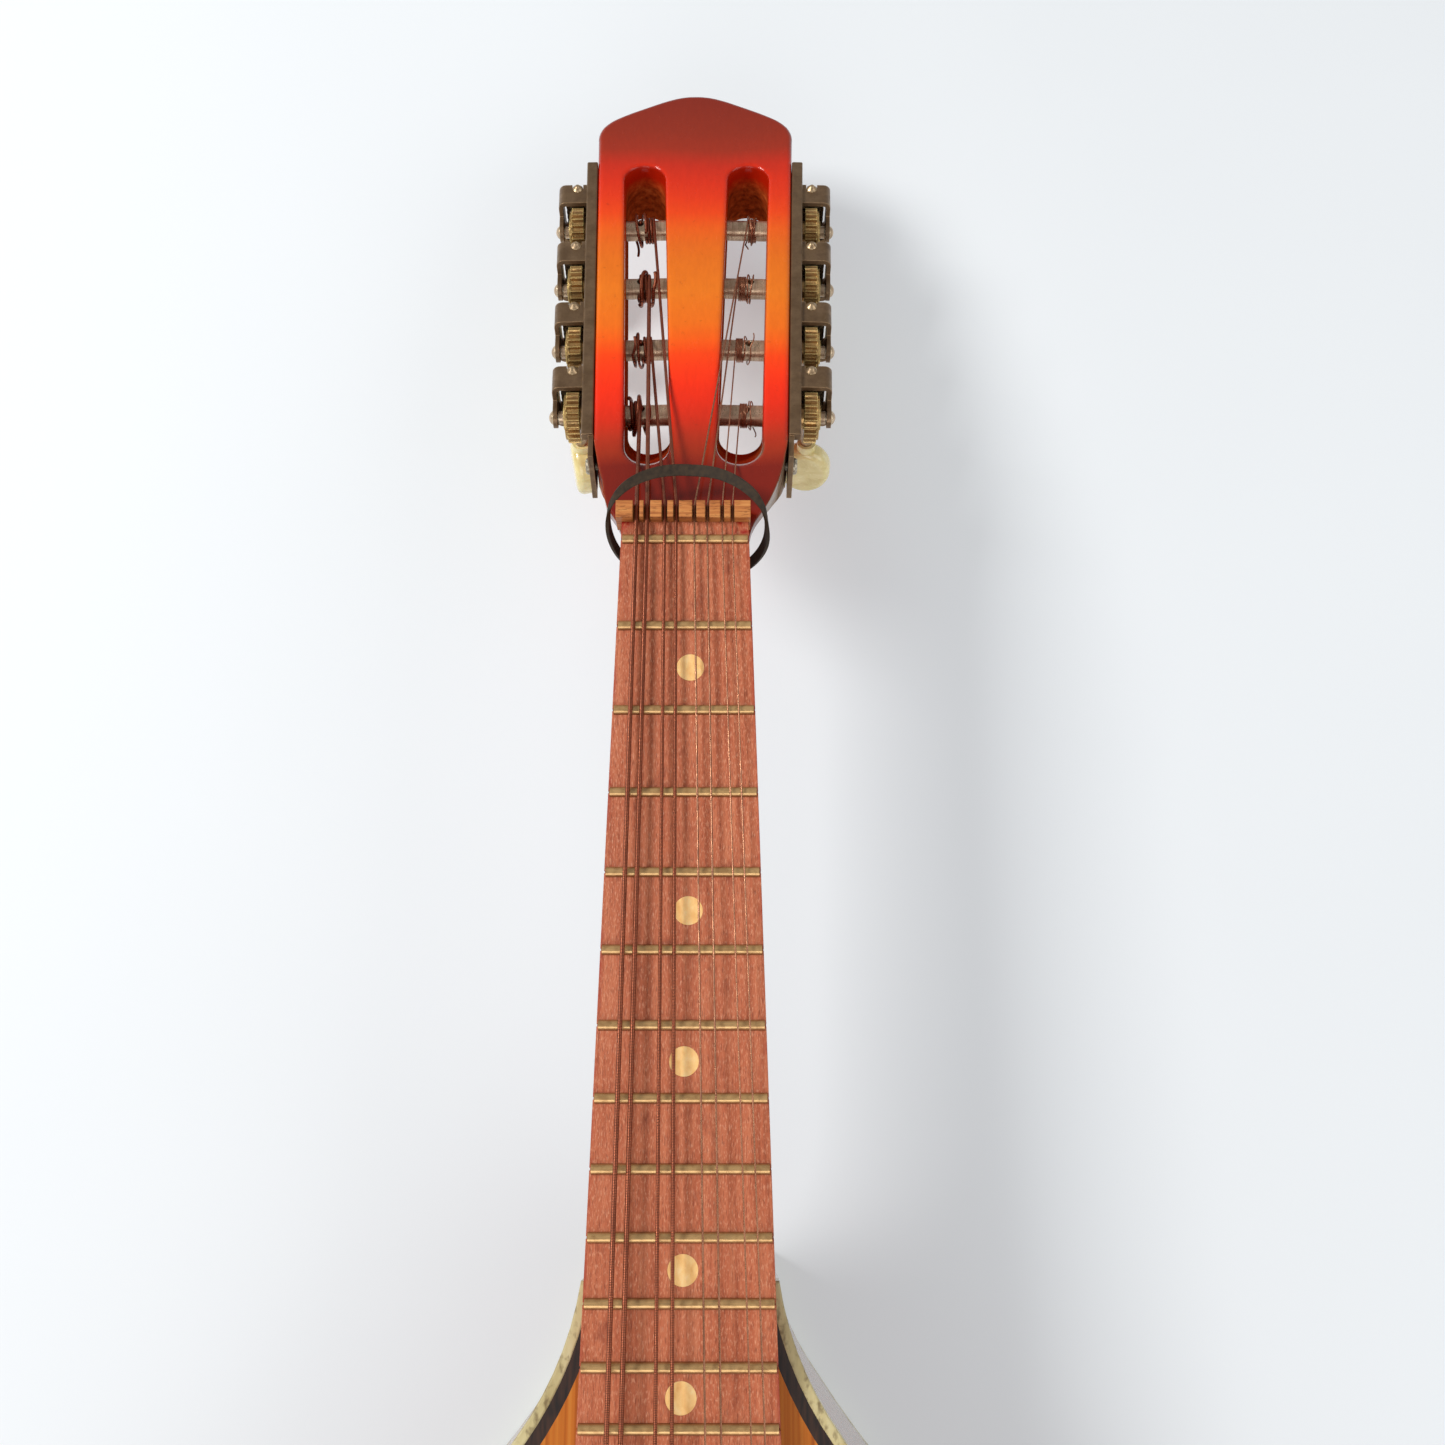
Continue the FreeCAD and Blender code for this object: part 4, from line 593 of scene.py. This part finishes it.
# heights of the strings' undersides, and where they leave the nut
ZERO_Z = 0.07706
NUT_Y = 0.358 - 0.0003
NUT_Z = ZERO_Z - 0.00093
SADDLE_TOP = 0.0816
SADDLE_NOTCH = 0.0007
SADDLE_GAP = 0.00002
CORNER_REACH = 0.0008   # length of each bend on either side of its corner

# tailpiece hooks
HOOK_Y = -0.080
HOOK_Z = TOP_Z + 0.0024
HOOK_MID_X = 3.0        # mm
HOOK_PITCH = 3.6        # mm

# rollers, mm in the frame of a headstock side
SIDE_TURN = math.radians(1.8)
SIDE_X = 23.69          # side frame's origin from the headstock's middle
ROLLER_MID = 65.85      # middle of the row, along the headstock
ROLLER_PITCH = 21.15
ROLLER_OUT = -8.0       # axis, out of the headstock's face
ROLLER_RADIUS = 2.5
ROLLER_INSET = {"l": 7.0, "r": 6.05}
HOLE_OFFSET = 3.726     # cross hole, further inward from the inset
END_STATIONS = (-3.4, -2.0, 0.0, 2.0, 3.3)  # along the cross hole


class SideFrame:
    """Millimetre frame along one headstock side; sign is -1 at -X, 1 at +X."""

    def __init__(self, sign):
        turn = -sign * SIDE_TURN
        self.sign = sign
        self.origin = head_point(HEAD_MID_X + sign * SIDE_X, ROLLER_MID, 0)
        self.across = ACROSS * math.cos(turn) + HEAD_ALONG * math.sin(turn)
        self.along = -ACROSS * math.sin(turn) + HEAD_ALONG * math.cos(turn)

    def point(self, x, along, out):
        return (self.origin + self.across * (x * MM) + self.along * (along * MM)
                + HEAD_OUT * (out * MM))

    def measure(self, place):
        offset = place - self.origin
        return [offset.dot(axis) / MM for axis in (self.across, self.along, HEAD_OUT)]

    def around(self, x, roller_s, angle, radius):
        """Point around a roller; angle 0 is out of the headstock's face."""
        return self.point(x, roller_s + radius * math.sin(angle),
                          ROLLER_OUT + radius * math.cos(angle))


SIDES = {"l": SideFrame(-1), "r": SideFrame(1)}


def copper_winding():
    """Fine ribs along Y with painted shade in the grooves between turns, and dull patches.
    """
    mat = Material("copper_winding")
    ribs_and_painted_groove_shade = mat.node("ShaderNodeTexWave", {
        "Vector": mat.coords.outputs["Object"], "Scale": 1100.0},
        wave_type="BANDS", bands_direction="Y").outputs["Fac"]
    blots = mat.noise(freq=(900, 160, 900), detail=4.0, rough=0.6)
    # painted shade: the grooves between turns are painted dark, the crests copper
    color = mat.ramp(ribs_and_painted_groove_shade, [(0.15, (74, 32, 20)), (0.60, (166, 92, 62))])
    color = mat.mix(mat.band(blots, [(0.45, 0.0), (0.70, 0.6)]), color, (92, 44, 28))
    mat.set(Base_Color=color, Metallic=0.7,
            Roughness=mat.band(blots, [(0.3, 0.22), (0.7, 0.42)]))
    mat.bump(ribs_and_painted_groove_shade, strength=0.45, distance=0.00005)
    return mat


WOUND = copper_winding()
PLAIN = metal("plain_wire", dark=(122, 78, 56), light=(172, 122, 92),
              tarnish=(92, 50, 34), rough=(0.18, 0.34), dirt=0.5, edge=0.0,
              brush=(0.0005, 0.004, 0.0005))


def wire(name, points, radius, mat):
    """A closed round rod of the given radius (mm) through points."""
    sides = 10
    last = len(points) - 1
    verts, faces = [], []
    reference = None
    for k, point in enumerate(points):
        if k == 0:
            tangent = (points[1] - point).normalized()
        elif k == last:
            tangent = (point - points[-2]).normalized()
        else:
            tangent = ((points[k + 1] - point).normalized()
                       + (point - points[k - 1]).normalized()).normalized()
        if reference is None:
            reference = Vector((1, 0, 0)) if abs(tangent.x) < 0.8 else Vector((0, 0, 1))
        # carried from ring to ring so the rod doesn't twist
        reference = (reference - tangent * reference.dot(tangent)).normalized()
        other = tangent.cross(reference)
        for j in range(sides):
            a = 2 * math.pi * j / sides
            verts.append(point + (reference * math.cos(a) + other * math.sin(a))
                         * (radius * MM))
    for k in range(last):
        for j in range(sides):
            a = k * sides + j
            b = k * sides + (j + 1) % sides
            faces.append((a, b, b + sides, a + sides))
    faces.append(tuple(range(sides - 1, -1, -1)))
    faces.append(tuple(last * sides + j for j in range(sides)))
    mesh = bpy.data.meshes.new(name)
    mesh.from_pydata([tuple(v) for v in verts], [], faces)
    mesh.update()
    for polygon in mesh.polygons:
        polygon.use_smooth = len(polygon.vertices) == 4
    rod = bpy.data.objects.new(name, mesh)
    bpy.context.scene.collection.objects.link(rod)
    mesh.materials.append(mat.data)
    return rod


def catmull(points, per):
    """Catmull-Rom curve through points, with per steps between two of them."""
    curve = []
    ends = [points[0] * 2 - points[1]] + points + [points[-1] * 2 - points[-2]]
    for a, b, c, d in zip(ends, ends[1:], ends[2:], ends[3:]):
        for k in range(per):
            t = k / per
            curve.append(0.5 * ((2 * b) + (c - a) * t
                                + (2 * a - 5 * b + 4 * c - d) * t * t
                                + (3 * b - a - 3 * c + d) * t ** 3))
    curve.append(points[-1])
    return curve


def leg(start, end, steps):
    return [start + (end - start) * (k / steps) for k in range(1, steps + 1)]


def bent_path(corners):
    """Straight legs with a short curve at each inner corner."""
    path = [corners[0]]
    for before, corner, after in zip(corners, corners[1:], corners[2:]):
        enter = corner + (before - corner).normalized() * CORNER_REACH
        leave = corner + (after - corner).normalized() * CORNER_REACH
        path += leg(path[-1], enter, 6)
        for j in (1, 2, 3, 4):
            t = j / 4.0
            path.append(enter * (1 - t) ** 2 + corner * 2 * t * (1 - t)
                        + leave * t * t)
    return path + leg(path[-1], corners[-1], 8)


def hook_eye(x, radius):
    """Open loop round the hook; its gap faces +Y."""
    width = 0.0009 + radius * MM
    loop = []
    for k in range(13):
        a = math.radians(38 + (322 - 38) * k / 12.0)
        y = HOOK_Y + 0.0010 - width * 0.2 + width * 1.5 * math.cos(a)
        loop.append(Vector((x + width * math.sin(a), y, HOOK_Z)))
    return catmull(loop, per=2)


def tie_twist(tie, toward, radius):
    """Five turns round the string, in front of the eye."""
    reach = (radius + max(0.10, radius * 0.4)) * MM
    points = []
    for k in range(41):
        f = k / 40.0
        a = f * 2 * math.pi * 5
        center = tie + (toward - tie).normalized() * (0.0004 + 0.0075 * f)
        points.append(center + Vector((math.cos(a) * reach, 0, math.sin(a) * reach)))
    return points


def roller_coil(side, x, drift, roller_s, start, turns, radius):
    """Close turns on the roller, from where the string first touches it."""
    steps = int(turns * 28)
    return [side.around(x + drift * k / steps, roller_s,
                        start + 2 * math.pi * turns * k / steps, radius)
            for k in range(steps + 1)]


def slack_turns(side, x, roller_s, radius, slack):
    """Loose outer turns and a springy cut end."""
    turns, drift, wobble, phase, spring = slack
    stations = []   # x, angle, radius
    steps = int(turns * 30)
    for k in range(steps + 1):
        f = k / steps
        stations.append((x + drift * f + 0.25 * math.sin(5 * math.pi * f),
                         math.radians(phase) + 2 * math.pi * turns * f,
                         radius + wobble * abs(math.sin(2.3 * math.pi * f))))
    x_end, angle_end, radius_end = stations[-1]
    for k in range(1, 13):
        f = k / 12.0
        stations.append((x_end + 0.8 * math.sin(2.2 * f), angle_end + 0.9 * f,
                         radius_end + spring * f))
    return [side.around(x_at, roller_s, a, r) for x_at, a, r in stations]


def build_string(i, string, slack):
    """Builds one string; returns the objects that stay with the instrument."""
    course, radius, x_zero, x_bridge, letter, number, x_coil = string
    side = SIDES[letter]
    wound = course in "gd"
    mat = WOUND if wound else PLAIN
    name = "string_%d_" % (i + 1)
    thick = radius * MM

    x_hook = (HOOK_MID_X + (i - 3.5) * HOOK_PITCH) * MM
    tie = Vector((x_hook, HOOK_Y + 0.0046 + thick, HOOK_Z + 0.00025))
    bridge = Vector((x_bridge * MM, 0, SADDLE_TOP - SADDLE_NOTCH + thick + SADDLE_GAP))
    zero = Vector((x_zero * MM, ZERO_Y, ZERO_Z + thick))
    nut = Vector((x_zero * MM, NUT_Y, NUT_Z + thick))

    # the line from the nut meets the coil as a tangent
    roller_s = (number - 2.5) * ROLLER_PITCH
    coil_radius = ROLLER_RADIUS + 0.12 + radius
    nut_s, nut_out = side.measure(nut)[1:]
    ahead, rise = roller_s - nut_s, ROLLER_OUT - nut_out
    slope = math.atan2(rise, ahead) + math.asin(coil_radius / math.hypot(ahead, rise))
    x_first = side.measure(head_point(x_coil, ROLLER_MID + roller_s, 0))[0]
    turns = 2.75 if wound else 4.75
    drift = side.sign * (2 * radius + 0.03) * turns
    coil = roller_coil(side, x_first, drift, roller_s, -slope, turns, coil_radius)

    path = bent_path([tie, bridge, zero, nut, coil[0]]) + coil[1:]
    kept = [
        wire(name + "run", path, radius, mat),
        wire(name + "eye", hook_eye(x_hook, radius), max(0.13, radius * 0.55), mat),
        wire(name + "tie", tie_twist(tie, bridge, radius), max(0.10, radius * 0.42), mat),
    ]

    # the end through the roller's cross hole and the slack turn with the roller
    x_hole = -side.sign * (ROLLER_INSET[letter] + HOLE_OFFSET)
    end = [side.point(x_hole, roller_s, ROLLER_OUT + z) for z in END_STATIONS]
    loose = slack_turns(side, x_first + drift, roller_s,
                        coil_radius + 2 * radius + 0.08, slack)
    for part, points, thickness in (("end", end, radius), ("slack", loose, radius * 0.92)):
        rod = wire(name + part, points, thickness, mat)
        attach(rod, "roller_%s%d" % (letter, number))
    return kept


courses = {"g": [], "d": [], "a": [], "e": []}
for i, (string, slack) in enumerate(zip(STRINGS, SLACK)):
    courses[string[0]] += build_string(i, string, slack)
for course, rods in courses.items():
    for rod in rods:
        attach(rod, "instrument")
    for rod in rods:
        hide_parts("strings_" + course)

# ---------------------------------------------------------------- stage
scene = bpy.context.scene


def studio_floor():
    """Pale floor that is clear from below, so the back of the object shows."""
    mat = Material("studio_floor")
    pale = mat.ramp(mat.noise(freq=6, detail=2.0),
                    [(0.3, (236, 240, 243)), (0.7, (238, 242, 245))])
    mat.set(Base_Color=mat.mix(0.5, pale, (120, 122, 124), "MULTIPLY"),
            Roughness=0.9, Specular_IOR_Level=0.05,
            Emission_Color=pale, Emission_Strength=0.36)
    clear = mat.node("ShaderNodeBsdfTransparent")
    both = mat.node("ShaderNodeMixShader", {
        0: mat.geometry.outputs["Backfacing"],
        1: mat.surface.outputs[0], 2: clear.outputs[0]})
    mat.put(mat.output.inputs[0], both.outputs[0])
    return mat


def add_floor(half, z):
    mat = studio_floor()
    mesh = bpy.data.meshes.new("floor")
    mesh.from_pydata([(-half, -half, z), (half, -half, z), (half, half, z),
                      (-half, half, z)], [], [(0, 1, 2, 3)])
    floor = bpy.data.objects.new("floor", mesh)
    mesh.materials.append(mat.data)
    scene.collection.objects.link(floor)


def add_area(name, place, target, size, power, color):
    """Square area light aimed at target."""
    light = bpy.data.lights.new(name, "AREA")
    light.energy = power
    light.size = size
    light.color = color
    lamp = bpy.data.objects.new(name, light)
    lamp.location = place
    aim = Vector(target) - Vector(place)
    lamp.rotation_euler = aim.to_track_quat("-Z", "Y").to_euler()
    scene.collection.objects.link(lamp)


def add_world(color, strength):
    world = bpy.data.worlds.new("soft")
    world.use_nodes = True
    background = world.node_tree.nodes["Background"]
    background.inputs[0].default_value = color
    background.inputs[1].default_value = strength
    scene.world = world


def add_camera(place, pitch):
    """pitch is degrees from straight down, towards +Y"""
    lens = bpy.data.cameras.new("camera")
    lens.sensor_width = 36.0
    lens.lens = 36.0
    lens.clip_start = 0.01
    camera = bpy.data.objects.new("camera", lens)
    camera.location = place
    camera.rotation_euler = (math.radians(pitch), 0, 0)
    scene.collection.objects.link(camera)
    scene.camera = camera


add_floor(half=12.0, z=-0.0005)
add_area("key", place=(-0.80, 0.52, 0.85), target=(0.0, 0.30, 0.03), size=0.36,
         power=11.2, color=(1.0, 0.985, 0.96))
add_area("fill", place=(1.05, 0.05, 0.75), target=(0, 0.25, 0.05), size=0.9,
         power=5.2, color=(1.0, 0.99, 0.98))
add_area("low", place=(-0.15, -0.85, 0.75), target=(0, 0.2, 0.05), size=0.9,
         power=5.8, color=(1.0, 1.0, 1.0))
add_world(color=(0.98, 0.98, 1.0, 1.0), strength=0.36)
scene.view_settings.view_transform = "Standard"
scene.view_settings.look = "None"
add_camera(place=(0.00806, ZERO_Y - 0.12085, BOARD_Z + 0.28914), pitch=15.456)
